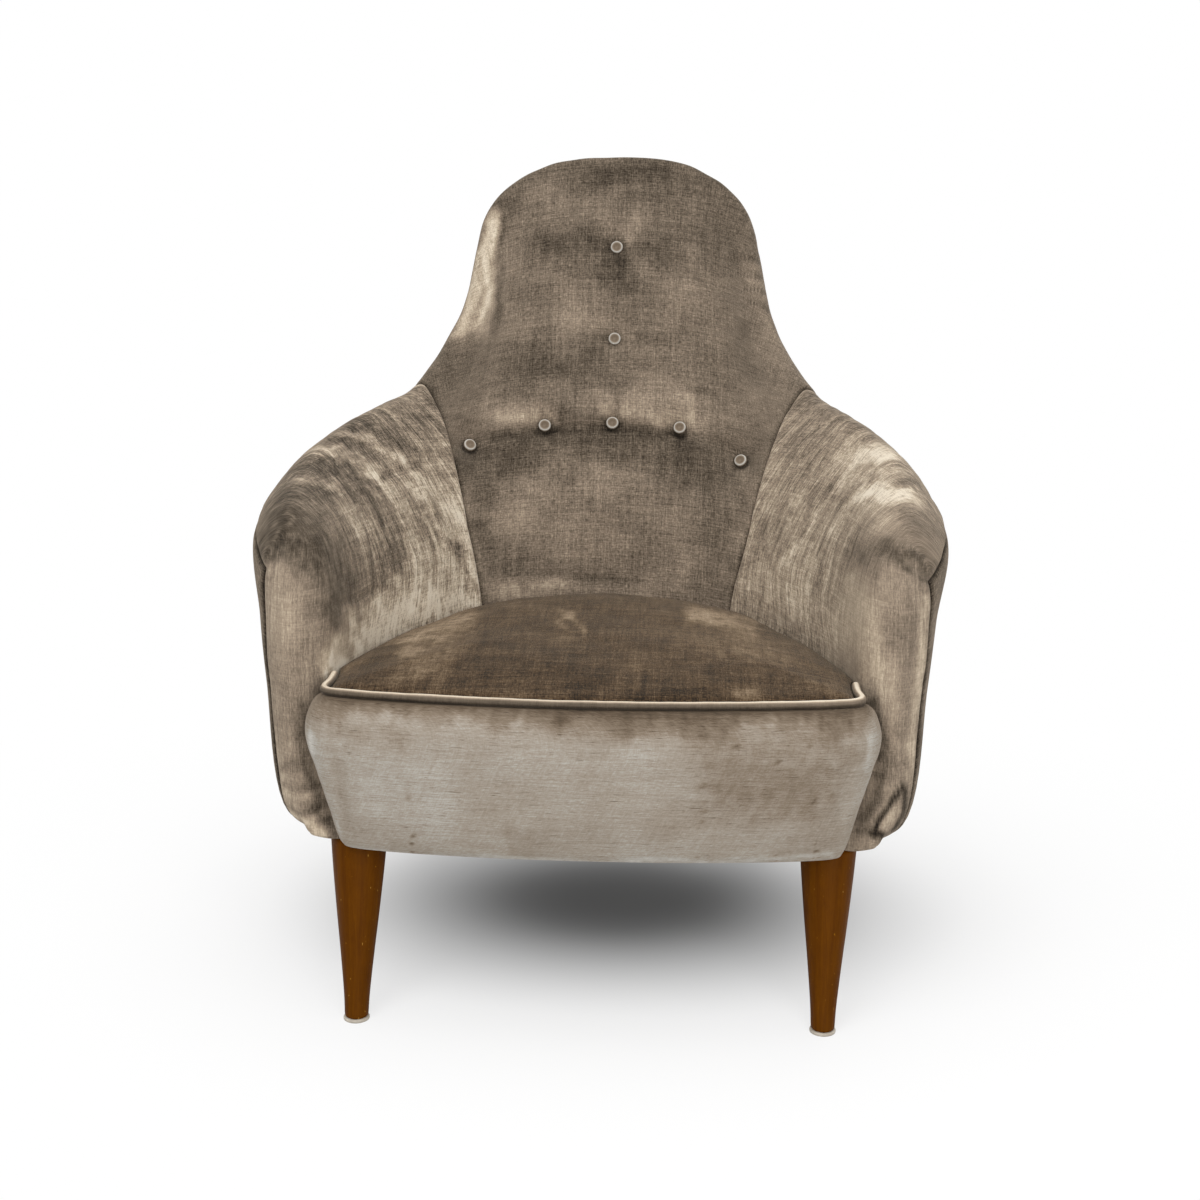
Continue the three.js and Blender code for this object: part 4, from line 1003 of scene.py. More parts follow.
def make_floor():
    """What is seen of the floor holds the chair's shadow, deepened by a painted shadow that darkens
    its colour under the chair, and fades to pure white around it.
    """
    mesh = bpy.data.meshes.new("floor")
    corners = [(-1, -1), (1, -1), (1, 1), (-1, 1)]
    mesh.from_pydata([(x * FLOOR_SIZE, y * FLOOR_SIZE, 0) for x, y in corners], [], [(0, 1, 2, 3)])
    floor = add_object("floor", mesh)
    material = bpy.data.materials.new("floor")
    material.use_nodes = True
    tree = Tree(material.node_tree)
    tree.nodes.clear()

    def shader(kind, *inputs):
        return tree.node("ShaderNode" + kind, list(enumerate(inputs))).outputs[0]

    def graded(steps):
        tints = [(at, (level, level, level, 1)) for at, level in steps]
        return tree.ramp(reach.outputs["Value"], tints, "B_SPLINE")

    shaped = tree.node("ShaderNodeMapping", [
        (0, tree.node("ShaderNodeTexCoord").outputs["Object"]),
        ("Location", (-0.015, -0.05, 0)),
        ("Scale", (0.76, 1, 1)),
    ])
    reach = tree.node("ShaderNodeVectorMath", [(0, shaped.outputs[0])], operation="LENGTH")
    # painted shadow: the floor's colour as seen darkens to 0.3 under the chair
    shaded = shader("BsdfDiffuse", graded(FLOOR_PAINTED_SHADOW))
    seen = shader("MixShader", graded(FLOOR_FADE), shaded, shader("Emission"))
    around = shader("BsdfDiffuse", FLOOR_GREY)
    surface = shader("MixShader", tree.seen_directly(), around, seen)
    tree.node("ShaderNodeOutputMaterial", [("Surface", surface)])
    mesh.materials.append(material)


def make_stage():
    """The floor, an even white room that lights less than it shows, and four soft lamps."""
    make_floor()
    world = bpy.data.worlds.new("world")
    world.use_nodes = True
    bpy.context.scene.world = world
    tree = Tree(world.node_tree)
    white = tree.nodes["Background"]
    strength = tree.node("ShaderNodeMapRange", [
        ("Value", tree.seen_directly()), ("To Min", ROOM_LIGHT), ("To Max", 1.0),
    ])
    tree.link((1, 1, 1, 1), white.inputs[0])
    tree.link(strength.outputs[0], white.inputs[1])

    for name, spot, size, power in LAMPS:
        data = bpy.data.lights.new(name, "AREA")
        data.shape = "DISK"
        data.size = size
        data.energy = power
        lamp = bpy.data.objects.new(name, data)
        bpy.context.scene.collection.objects.link(lamp)
        lamp.location = spot
        aim = LAMP_AIM - Vector(spot)
        lamp.rotation_mode = "QUATERNION"
        lamp.rotation_quaternion = aim.to_track_quat("-Z", "Y")
    bpy.context.scene.view_settings.view_transform = "Standard"


make_camera()
make_stage()


# Upholstery over the tub
ROW_DEPTH = 8.0         # how much deeper the row of five is pulled in than the other buttons
ROW_REACH = 36.0
ROW_SPREAD = 40.0
PRESS_DEPTH = 4.0
PLEAT_HEIGHT = 0.7
PLEAT_REACH = 20.0
PLEAT_WIDTH = 11.0
PLEAT_COUNT = 7
HOLLOW_SHADE = 22.0
HOLLOW_WIDTH = 5.0
SEAM_SHADING_WIDTH = 3.5
SWIRL_PITCHES = (2.6, 3.9, 6.7)
ARM_PARTS = 16          # cells of an arm between two rails
BACK_DIP = (3.2, 9)
ARM_DIP = (3, 8)
PANEL_DIP = (2.4, 7)
BACK_TONE = 116
ARM_TONE = 142
SEAT_TONE = 59
BORDER_TONE = 154
PANEL_TONES = (116, 114)
TONE_LIMITS = (30, 250)


def eased(start, end, count, first, last):
    """Steps from start to end that close up near each end by the given shares."""
    part = np.linspace(0, 1, count + 1)
    drift = -first * np.sin(math.pi * part) / math.pi * (1 - part)
    drift += last * np.sin(math.pi * part) / math.pi * part
    return start + (end - start) * (part + drift)


def back_relief(points, normals, away):
    """Height of the inside back, pulled in and pleated round each button."""
    height = uneven(points, (0.9, 130), (0.35, 38), 3)
    row_level = min(point[2] for point, _ in button_places.values())
    for point, _ in button_places.values():
        offset = points - point
        reach = np.linalg.norm(offset, axis=1)
        height -= TUFT_DEPTH * np.clip(1 - reach / TUFT_REACH, 0, 1) ** 2.2
        height -= PRESS_DEPTH * np.clip(1 - reach / (BUTTON_RADIUS + 2), 0, 1) ** 0.5
        if abs(point[2] - row_level) < ROW_SPREAD:
            height -= ROW_DEPTH * np.clip(1 - reach / ROW_REACH, 0, 1) ** 1.1
        angle = np.arctan2(offset[:, 2], offset[:, 0])
        pleat = bell(reach - PLEAT_REACH, PLEAT_WIDTH)
        height += PLEAT_HEIGHT * pleat * np.sin(PLEAT_COUNT * angle + point[0])
    return height + folds(points, normals, BACK_FOLDS)


def back_tone(points, normals, away):
    """Tone of the inside back, with painted shade in the hollow round each button."""
    # painted shade along the seams of the back (-34)
    tone = painter(BACK_TONE, BACK_STROKES, -34)(points, normals, away)
    for point, out in button_places.values():
        offset = points - point
        reach = np.linalg.norm(offset - np.outer(offset @ out, out), axis=1)
        tone -= HOLLOW_SHADE * bell(reach - BUTTON_RADIUS, HOLLOW_WIDTH)
    return np.clip(tone, *TONE_LIMITS)


def arm_relief(lines, seed):
    """Height of an inside arm with its own fold lines."""
    def relief(points, normals, away):
        return uneven(points, (0.9, 110), (0.3, 34), seed) + folds(points, normals, lines)
    return relief


def outside_relief(points, normals, away):
    """Height of the outside panels, which are nearly flat."""
    return 0.5 * waves(points, 160, 11)


def swirl(points, normals, middle, near, far):
    """Rings of brushed pile round a place in the picture, between -1 and 1."""
    reach = np.linalg.norm(picture_places(points) - np.array(middle), axis=1)
    reach += 7 * waves(points, 70, 81)
    rings = sum(np.sin(reach / pitch + k) for k, pitch in enumerate(SWIRL_PITCHES))
    held = smooth(reach, near, near + 30) * (1 - smooth(reach, far - 40, far))
    broken = np.clip(0.5 + 0.7 * waves(points, 55, 82), 0, 1.3)
    return rings / 2 * held * broken * facing(points, normals)


def painter(base, strokes, seam=0, clouds=5, rings=None):
    """Tone of the pile: strokes of pile tone, painted shade and painted highlight over a cloudy
    base tone, with painted shade along the seams where seam is below 0 and a painted highlight
    where it is above 0, and with rings, each (tone, middle, from, to), of brushed pile."""
    def paint(points, normals, away=None):
        tone = brushed(points, normals, base, strokes) + clouds * waves(points, 90, 21)
        if rings is not None:
            amount, middle, near, far = rings
            tone += amount * swirl(points, normals, middle, near, far)
        if away is not None:
            tone += seam * bell(away, SEAM_SHADING_WIDTH)
        return np.clip(tone, *TONE_LIMITS)
    return paint


def everywhere(station, rail):
    """Holds the whole of the stations and rails that are given."""
    return (station > 0) & (rail > 0)


def arm_holds(station, rail):
    """Holds the inside of the arm, and the whole height of its front."""
    return ((rail > SKIRT) & (rail < CREST)) | (station < CORNER) & (rail > -1)


def make_panel(name, stations, paint, side=1):
    """A thin panel over the outside of the tub."""
    make_cover(
        name, stations, outer_rails, everywhere, lambda station, rail: OUTSIDE_PANEL + 0 * station,
        outside_relief, paint, wall_velvet, PANEL_DIP, side)


make_cover(
    "inside_back", eased(NECK, LAST_STATION - NECK, 168, 0.5, 0.5), np.linspace(SKIRT, CREST, 155),
    everywhere, inside_thickness, back_relief, back_tone, wall_velvet, BACK_DIP)

arm_stations = np.concatenate([np.linspace(0, CORNER, 21)[:-1], eased(CORNER, NECK, 150, 0, 0.5)])
arm_rails = np.arange(0, LAST_RAIL * ARM_PARTS + 1) / ARM_PARTS
outer_rails = eased(CREST, LAST_RAIL, 44, 0.4, 0)
for side_name, side, lines, strokes, seed, rings in [
    ("right", 1, RIGHT_FOLDS, RIGHT_STROKES, 31, (22, (925, 620), 100, 190)),
    ("left", -1, LEFT_FOLDS, LEFT_STROKES, 41, (34, (287, 622), 105, 230)),
]:
    # painted highlight along the seams of each arm (24)
    make_cover(
        "inside_arm_" + side_name, arm_stations, arm_rails, arm_holds, inside_thickness,
        arm_relief(lines, seed), painter(ARM_TONE, strokes, 24, 5, rings), arm_velvet, ARM_DIP,
        side, arm_weave)
    # painted shade along the seams of the outside arm panel (-70)
    paint = painter(PANEL_TONES[0], [], -70, 9)
    make_panel("outside_arm_" + side_name, eased(CORNER, NECK, 60, 0.4, 0.4), paint, side)
# painted shade along the seams of the outside back (-40)
paint = painter(PANEL_TONES[1], [], -40, 9)
make_panel("outside_back", eased(NECK, LAST_STATION - NECK, 90, 0.4, 0.4), paint)


# Buttons: covered in the same velvet, with a rolled edge and a dished middle. Each ring of a button
# is (share of its radius, share of its depth, tone). The tones are painted highlight on the rolled
# edge and painted shade down its sides.
BUTTON_SIDES = 40
BUTTON_RINGS = [
    (0.62, 0.0, 70), (0.9, 0.05, 70), (1.0, 0.3, 72), (1.02, 0.5, 84), (0.99, 0.74, 136),
    (0.9, 0.92, 206), (0.78, 1.0, 164), (0.64, 0.98, 116), (0.48, 0.9, 104), (0.3, 0.84, 104),
    (0.12, 0.82, 112),
]


def make_button(name, point, out):
    """A button that stands in the hollow that it pulls into the back."""
    base = point - out * (TUFT_DEPTH + 1)
    across = unit(np.cross(out, [0, 0, 1.0]))
    over = np.cross(across, out)
    ways = circle(turns(BUTTON_SIDES), across, over)
    rings = np.array([base + out * BUTTON_DEPTH * rise + ways * BUTTON_RADIUS * reach
                      for reach, rise, _ in BUTTON_RINGS])
    tone = np.repeat([shade for _, _, shade in BUTTON_RINGS], BUTTON_SIDES)
    flat = (rings - base) @ np.stack([across, over], 1) * METRE
    piece = rings_piece(name, rings, button_velvet, tone, flat.reshape(-1, 2))
    attach(piece, name)


for name, (point, out) in button_places.items():
    make_button(name, point, out)


# Seat: its front edge bows, and lies behind the piping
CORNER_X = 0.742 * HALF_WIDTH
TUCK_X = 0.728 * HALF_WIDTH
TUCK_Y = -0.72 * HALF_DEPTH
PIPING_MIDDLE = -(HALF_DEPTH - BORDER_PUFF)
PIPING_CORNER = -0.876 * HALF_DEPTH
RAIL_MIDDLE = -0.84 * HALF_DEPTH
RAIL_CORNER = -0.761 * HALF_DEPTH
PIPING_HEIGHT = SEAT_HEIGHT - PIPING_RADIUS + 2 * FIT_GAP
PIPE_BACK = PIPING_RADIUS + FIT_GAP
SEAT_PLACES = 420
SEAT_UNDER = (0.3, 0.7, 0.97)
SEAT_SIDE = (0, 0.33, 0.66, 0.9)
SEAT_TOP = np.concatenate([[1, 0.996, 0.99, 0.98, 0.965], np.linspace(0.95, 0.02, 62)])
SEAT_ROUNDING = 2.2
SEAT_CENTRE = np.array([0, -0.3 * HALF_DEPTH, 0])


def bow(x, middle, corner):
    """How far forward a bowed edge lies, from its places in the middle and at the corner."""
    return middle + (corner - middle) * (x / CORNER_X) ** 2


def run_along(path):
    """Length along a path up to each of its places."""
    return np.concatenate([[0], np.cumsum(np.linalg.norm(np.diff(path, axis=0), axis=1))])


def resample(line, count):
    """Evenly spaced places along a closed line."""
    closed = np.concatenate([line, line[:1]])
    run = run_along(closed)
    at = np.linspace(0, run[-1], count + 1)[:-1]
    return np.stack([np.interp(at, run, closed[:, k]) for k in range(closed.shape[1])], 1)


def soften(ring, times):
    """The ring with its corners rounded a little, as often as told."""
    for _ in range(times):
        ring = (np.roll(ring, 1, 0) + 2 * ring + np.roll(ring, -1, 0)) / 4
    return ring


def seat_outline(rail, height, middle, corner, inset):
    """The seat's outline at a rail of the tub wall, closed by a bowed front edge."""
    wall = tub(np.linspace(1.5, LAST_STATION - 1.5, 171), [rail])[:, 0]
    inward = unit(-wall * np.array([1, 1, 0]))
    wall = wall + inward * inset * math.sqrt(2)
    side_x = TUCK_X - PIPING_RADIUS - inset
    x = np.linspace(-1, 1, 90) * side_x
    front = np.stack([x, bow(x, middle, corner), 0 * x], 1)
    left_gap = np.array([[-side_x, TUCK_Y, 0]])
    right_gap = np.array([[side_x, TUCK_Y, 0]])
    ring = np.concatenate([wall, left_gap, front, right_gap])
    ring[:, 2] = height
    return soften(resample(ring, SEAT_PLACES), 3)


def make_seat():
    """Rings from the middle of the underside, up the edge and over the crown to its middle."""
    bottom = seat_outline(
        SKIRT, SEAT_HEIGHT - SEAT_PAD_DEPTH, RAIL_MIDDLE + SOFT_GAP, RAIL_CORNER + SOFT_GAP,
        3 * SOFT_GAP)
    edge = seat_outline(
        1, SEAT_HEIGHT, PIPING_MIDDLE + PIPE_BACK, PIPING_CORNER + PIPE_BACK, SOFT_GAP)
    rings = [SEAT_CENTRE + (bottom - SEAT_CENTRE) * share for share in SEAT_UNDER]
    for ring in rings:
        ring[:, 2] = bottom[:, 2]
    for share in SEAT_SIDE:
        rings.append(bottom + (edge - bottom) * share)
    for share in SEAT_TOP:
        ring = SEAT_CENTRE + (edge - SEAT_CENTRE) * share
        drop = SEAT_ROUNDING * smooth(share, 0.955, 1) ** 2
        ring[:, 2] = SEAT_HEIGHT + SEAT_CROWN * (1 - share**3) - drop
        rings.append(ring)
    rings = np.array(rings)
    normals = ring_normals(rings)
    if normals[-20, 0, 2] < 0:
        normals = -normals
    points = rings.reshape(-1, 3)
    normals = normals.reshape(-1, 3)
    height = uneven(points, (0.8, 120), (0.25, 40), 51) + folds(points, normals, SEAT_FOLDS)
    height *= smooth(points[:, 2], SEAT_HEIGHT - 5, SEAT_HEIGHT + 8)
    points = points + normals * height[:, None]
    tone = painter(SEAT_TONE, SEAT_STROKES)(points, normals)
    top = SEAT_CENTRE + np.array([0, 0, SEAT_HEIGHT + SEAT_CROWN])
    piece = rings_piece(
        "seat_pad", points.reshape(rings.shape), seat_velvet, tone, points[:, :2] * METRE, top)
    attach(piece, "seat_pad")


make_seat()


# Piping: one cord from one tuck beside the arm, round the corner and along the front
PIPING_SIDES = 18
PIPING_TUCK = [(0.728, -0.72, 0.4), (0.728, -0.792, 0.3), (0.735, -0.842, 0), (0.722, -0.869, 0)]
PIPING_FRONT = [0.88, 0.66, 0.33, 0]
PIPING_PLACES = 361
# PIPING_TONE is the tone of the cord's underside, darkened as painted shade
PIPING_TONE = 50


def tube(path, radius, sides):
    """Rings round a level path with a radius for each of its places, and the ways out from it. The
    first place of each ring is at its top."""
    along = unit(np.gradient(path, axis=0))
    out = unit(np.cross(along, np.array([0, 0, 1.0])))
    over = np.cross(out, along)
    turn = turns(sides)
    ring = np.cos(turn)[None, :, None] * over[:, None] + np.sin(turn)[None, :, None] * out[:, None]
    return path[:, None] + ring * radius[:, None, None], ring


def make_piping():
    """The cord along the seam of seat and border, with a painted highlight where it faces up and
    painted shade underneath.
    """
    half = [(x * HALF_WIDTH, y * HALF_DEPTH, PIPING_HEIGHT + rise * PIPING_RADIUS)
            for x, y, rise in PIPING_TUCK]
    half += [(share * CORNER_X, bow(share * CORNER_X, PIPING_MIDDLE, PIPING_CORNER), PIPING_HEIGHT)
             for share in PIPING_FRONT]
    half = np.array(half)
    full = np.concatenate([half, half[-2::-1] * np.array([-1, 1, 1])])
    path = spline(full[None], np.linspace(0, len(full) - 1, PIPING_PLACES))[0]
    radius = PIPING_RADIUS - 0.2 + 0.18 * waves(path, 26, 61)
    rings, way = tube(path, radius, PIPING_SIDES)
    points = rings.reshape(-1, 3)
    way = way.reshape(-1, 3)
    weave = np.stack([
        np.repeat(run_along(path), PIPING_SIDES),
        np.tile(np.arange(PIPING_SIDES) * 2 * math.pi * PIPING_RADIUS / PIPING_SIDES, len(path)),
    ], 1) * METRE
    # painted highlight along the top of the cord and painted shade on its underside
    tone = PIPING_TONE + 42 * smooth(way[:, 2], -0.5, 0.3) + 126 * smooth(way[:, 2], 0.66, 0.95)
    tone += 18 * smooth(points[:, 0], 40, 260)
    piece = rings_piece("seat_piping", rings, piping_velvet, tone, weave)
    attach(piece, "seat_piping")


make_piping()


# Front border: rows from its underside to the piping, each [height share, half width, front in the
# middle, front at the side]. BORDER_FRONT is [share of the half width, share of the way back to the
# front at the side].
BORDER_ROWS = [
    [0, 0.702, -0.86, -0.768], [0.05, 0.711, -0.884, -0.776], [0.2, 0.729, -0.923, -0.784],
    [0.4, 0.749, -0.958, -0.79], [0.6, 0.777, -0.984, -0.795], [0.74, 0.793, -0.998, -0.797],
    [0.85, 0.79, -1, -0.797], [0.93, 0.775, -0.99, -0.8], [0.98, 0.752, -0.974, -0.815],
    [1, 0.735, -0.962, -0.835],
]
BORDER_FRONT = [[1, 1], [0.995, 0.62], [0.975, 0.36], [0.93, 0.19], [0.85, 0.09], [0.7, 0.03],
                [0.45, 0], [0.2, 0]]
BORDER_BACK = [0.9, 0.6, 0.3, 0, -0.3, -0.6, -0.9]
BORDER_CELLS = (64, 210, 60)    # up the border, across its front and across its back
BORDER_BOW = 0.42
BORDER_LEAD = 0.13
BORDER_SAG = 3.0
SPECK_COLUMNS = (412, 700, 735, 776, 815)


def fringe_and_shadow(points, top):
    """How much darker the border is under the piping: darker pile in ragged streaks that run down
    from it, and painted shade right under the piping.
    """
    across = points * np.array([1, 0, 0.1])
    streaks = waves(across, 70, 73) + 0.4 * waves(across, 9, 74)
    reach = np.maximum(15 + 8 * streaks, 5)
    depth = top - points[:, 2]
    short = 1 - smooth(depth, 0, 1.9 * reach)
    # ragged band of darker pile, plus painted shade right under the piping (the last term)
    return (40 + 8 * waves(across, 11, 75)) * short + 26 * np.exp(-depth / 6)


def specks(points):
    """Small dark marks in upright columns, where threads of the cloth stand out."""
    places = picture_places(points)
    column = sum(bell(places[:, 0] - x, 4) for x in SPECK_COLUMNS)
    return 60 * column * smooth(waves(points, 7, 76), 0.9, 1.5) * smooth(places[:, 1], 730, 745)


def make_border():
    """A closed pad whose rows each have a bowed and folded front and a plain back."""
    low = BASE_HEIGHT + FIT_GAP
    high = PIPING_HEIGHT - PIPING_RADIUS - FIT_GAP
    pad_bottom = SEAT_HEIGHT - SEAT_PAD_DEPTH
    fronts, backs = [], []
    for height, width, middle, side in BORDER_ROWS:
        z = low + height * (high - low)
        reach = width * HALF_WIDTH
        lean = min((z - pad_bottom) / SEAT_PAD_DEPTH + BORDER_LEAD, 1) if z > pad_bottom else 0
        back_middle = RAIL_MIDDLE + (PIPING_MIDDLE + PIPE_BACK - RAIL_MIDDLE) * lean - SOFT_GAP
        back_corner = RAIL_CORNER + (PIPING_CORNER + PIPE_BACK - RAIL_CORNER) * lean - SOFT_GAP
        sag = BORDER_SAG * (1 - smooth(height, 0, 0.5))
        half = []
        for share, drop in BORDER_FRONT:
            bowed = middle * HALF_DEPTH + BORDER_BOW * (PIPING_CORNER - PIPING_MIDDLE) * share**2
            forward = bowed + (side * HALF_DEPTH - bowed) * drop
            half.append((share * reach, forward, z - sag * (1 - share**2)))
        fronts.append(half + [(-x, y, level) for x, y, level in half[::-1]])
        backs.append([(share * reach, bow(share * reach, back_middle, back_corner),
                       z - sag * (1 - share**2)) for share in BORDER_BACK[::-1]])
    fronts = np.array(fronts)
    backs = np.array(backs)
    row_at = eased(0, len(BORDER_ROWS) - 1, BORDER_CELLS[0], 0.4, 0.4)
    front_at = eased(0, fronts.shape[1] - 1, BORDER_CELLS[1], 0.2, 0.2)
    back_at = np.linspace(0, backs.shape[1] - 1, BORDER_CELLS[2])

    def fill(net, at):
        rows = spline(net.transpose(1, 0, 2), row_at).transpose(1, 0, 2)
        return spline(rows, at)

    front = fill(fronts, front_at)
    rings = np.concatenate([front, fill(backs, back_at)], 1)
    normals = ring_normals(rings)
    if normals[30, 100, 1] > 0:
        normals = -normals
    count = front.shape[1]
    points = rings[:, :count].reshape(-1, 3)
    out = normals[:, :count].reshape(-1, 3)
    height = uneven(points, (0.8, 100), (0.3, 30), 71) + folds(points, out, BORDER_FOLDS)
    share = np.repeat(np.linspace(0, 1, len(rings)), count)
    height *= smooth(share, 0, 0.12) * (1 - smooth(share, 0.94, 1))
    rings[:, :count] = (points + out * height[:, None]).reshape(len(rings), count, 3)
    points = rings.reshape(-1, 3)
    tone = painter(BORDER_TONE, BORDER_STROKES)(points, normals.reshape(-1, 3))
    tone -= fringe_and_shadow(points, high) + specks(points)
    run = np.cumsum(np.linalg.norm(np.diff(rings, axis=1, prepend=rings[:, :1]), axis=2), 1)
    weave = np.stack([run - run.mean(), rings[:, :, 2]], 2).reshape(-1, 2) * METRE
    piece = rings_piece("front_border", rings, border_velvet, tone, weave)
    attach(piece, "front_border")


make_border()


# Legs and glides
LEG_TOP = BASE_HEIGHT - FIT_GAP
LEG_SIDES = 64
LEG_TAPER = [(0, 1), (0.12, 1.06), (0.35, 1.3), (0.6, 1.6), (0.85, 1.87), (1, 2)]
FOOT_TOP = 4.3
FOOT_DIAMETER = 27.0
FOOT_ROUNDING = [6, 1.4, 0.5, 0.1]
LEG_RINGS = np.concatenate([[0, 0, 0.004, 0.012], np.linspace(0.03, 0.985, 44), [1]])
GLIDE_SIDES = 48
GLIDE_THICKNESS = 4.0
GLIDE_RADIUS = 15.0
GLIDE_RINGS = [(0.5, 0), (0.93, 0), (0.985, 0.12), (1, 0.35), (1, 0.7), (0.97, 0.93), (0.9, 1),
               (0.5, 1)]
LEGS = [
    ("front_leg", (0.674, -0.677), (0.664, -0.85), 66.0),
    ("rear_leg", (0.51, 0.5), (0.55, 0.775), 52.0),
]


def make_leg(name, top_share, foot_share, top_diameter, side):
    """A turned leg that leans, cut level at its top and at its foot."""
    top = np.array([side * top_share[0] * HALF_WIDTH, top_share[1] * HALF_DEPTH, LEG_TOP])
    foot = np.array([side * foot_share[0] * HALF_WIDTH, foot_share[1] * HALF_DEPTH, 0])
    length = np.linalg.norm(top - foot)
    axis = (top - foot) / length
    across = unit(np.cross(axis, [0, 1.0, 0]))
    turn = turns(LEG_SIDES)
    ways = circle(turn, across, np.cross(across, axis))
    heights, tapers = np.array(LEG_TAPER).T
    curve = spline(np.stack([heights * length, tapers, 0 * heights], 1)[None],
                   np.linspace(0, len(heights) - 1, 101))[0]

    def radius(at):
        taper = np.interp(at, curve[:, 0], curve[:, 1])
        return (FOOT_DIAMETER + (top_diameter - FOOT_DIAMETER) * (taper - 1)) / 2

    def level_ring(z):
        at = np.full(LEG_SIDES, (z - foot[2]) / axis[2])
        for _ in range(8):
            at = (z - foot[2] - radius(at) * ways[:, 2]) / axis[2]
        return at

    low = level_ring(FOOT_TOP)
    high = level_ring(LEG_TOP)
    rings = []
    weave = []
    for k, part in enumerate(LEG_RINGS):
        at = low + (high - low) * part
        size = radius(at)
        if k < len(FOOT_ROUNDING):
            size = size - FOOT_ROUNDING[k]
        rings.append(foot + axis * at[:, None] + ways * size[:, None])
        weave.append(np.stack([turn * top_diameter / 2, at], 1) * METRE)
        if k < 2:
            rings[-1][:, 2] = FOOT_TOP
    piece = rings_piece(name, np.array(rings), leg_wood, None, np.concatenate(weave))
    attach(piece, name)
    make_glide(name.replace("leg", "leg_glide"), foot, top)


def make_glide(name, foot, top):
    """A flat disc under a leg."""
    centre = foot + (top - foot) * (GLIDE_THICKNESS / 2 / LEG_TOP)
    flat = np.array([centre[0], centre[1], 0])
    ways = circle(turns(GLIDE_SIDES), np.array([1.0, 0, 0]), np.array([0, 1.0, 0]))
    rings = [flat + ways * GLIDE_RADIUS * reach + np.array([0, 0, GLIDE_THICKNESS * rise])
             for reach, rise in GLIDE_RINGS]
    attach(rings_piece(name, np.array(rings), glide_plastic), name)


for leg_name, top_share, foot_share, top_diameter in LEGS:
    for side_name, side in (("right", 1), ("left", -1)):
        make_leg(f"{leg_name}_{side_name}", top_share, foot_share, top_diameter, side)


# Sheets of cloth: each has the outline of its solid, and lies slack between its fixings
CLOTH_STEP = 8.0
EDGE_ROOM = 4.5
SAG_REACH = (4, 110)
RIPPLE_REACH = (10, 40)
RIPPLE_MEAN = 0.6
HEM_EDGE = (11, 13)
HEM_FOLD = (0, 2)
FLAT_GAP = 0.01


def plane_mesh(places, edges, faces, kind):
    """Flat triangles through the given places that keep the given edges or faces."""
    spots = [Vector(spot) for spot in places]
    made = geometry.delaunay_2d_cdt(spots, edges, faces, kind, FLAT_GAP)
    return np.array([list(spot) for spot in made[0]]), np.array([list(face) for face in made[2]])


def underside(node):
    """The flat triangles of a node's underside in millimetres, and its lowest and highest level."""
    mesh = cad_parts[node].data
    mesh.calc_loop_triangles()
    points = np.array([vertex.co for vertex in mesh.vertices]) / METRE
    low, high = points[:, 2].min(), points[:, 2].max()
    cells = [list(cell.vertices) for cell in mesh.loop_triangles
             if max(points[k, 2] for k in cell.vertices) < low + FLAT_GAP]
    corners = points[np.array(cells)][:, ::-1, :2].reshape(-1, 2)
    faces = np.arange(len(corners)).reshape(-1, 3).tolist()
    flat, faces = plane_mesh(corners, [], faces, 1)
    return flat, faces, low, high


def within(places, flat, faces):
    """Which flat places lie inside any of the triangles."""
    a, b, c = (flat[faces[:, k]] for k in range(3))

    def side(start, end):
        way = end - start
        gap = places[:, None] - start
        return way[:, 0] * gap[:, :, 1] - way[:, 1] * gap[:, :, 0]

    one, two, three = side(a, b), side(b, c), side(c, a)
    inside = (one >= 0) & (two >= 0) & (three >= 0) | (one <= 0) & (two <= 0) & (three <= 0)
    return inside.any(1)


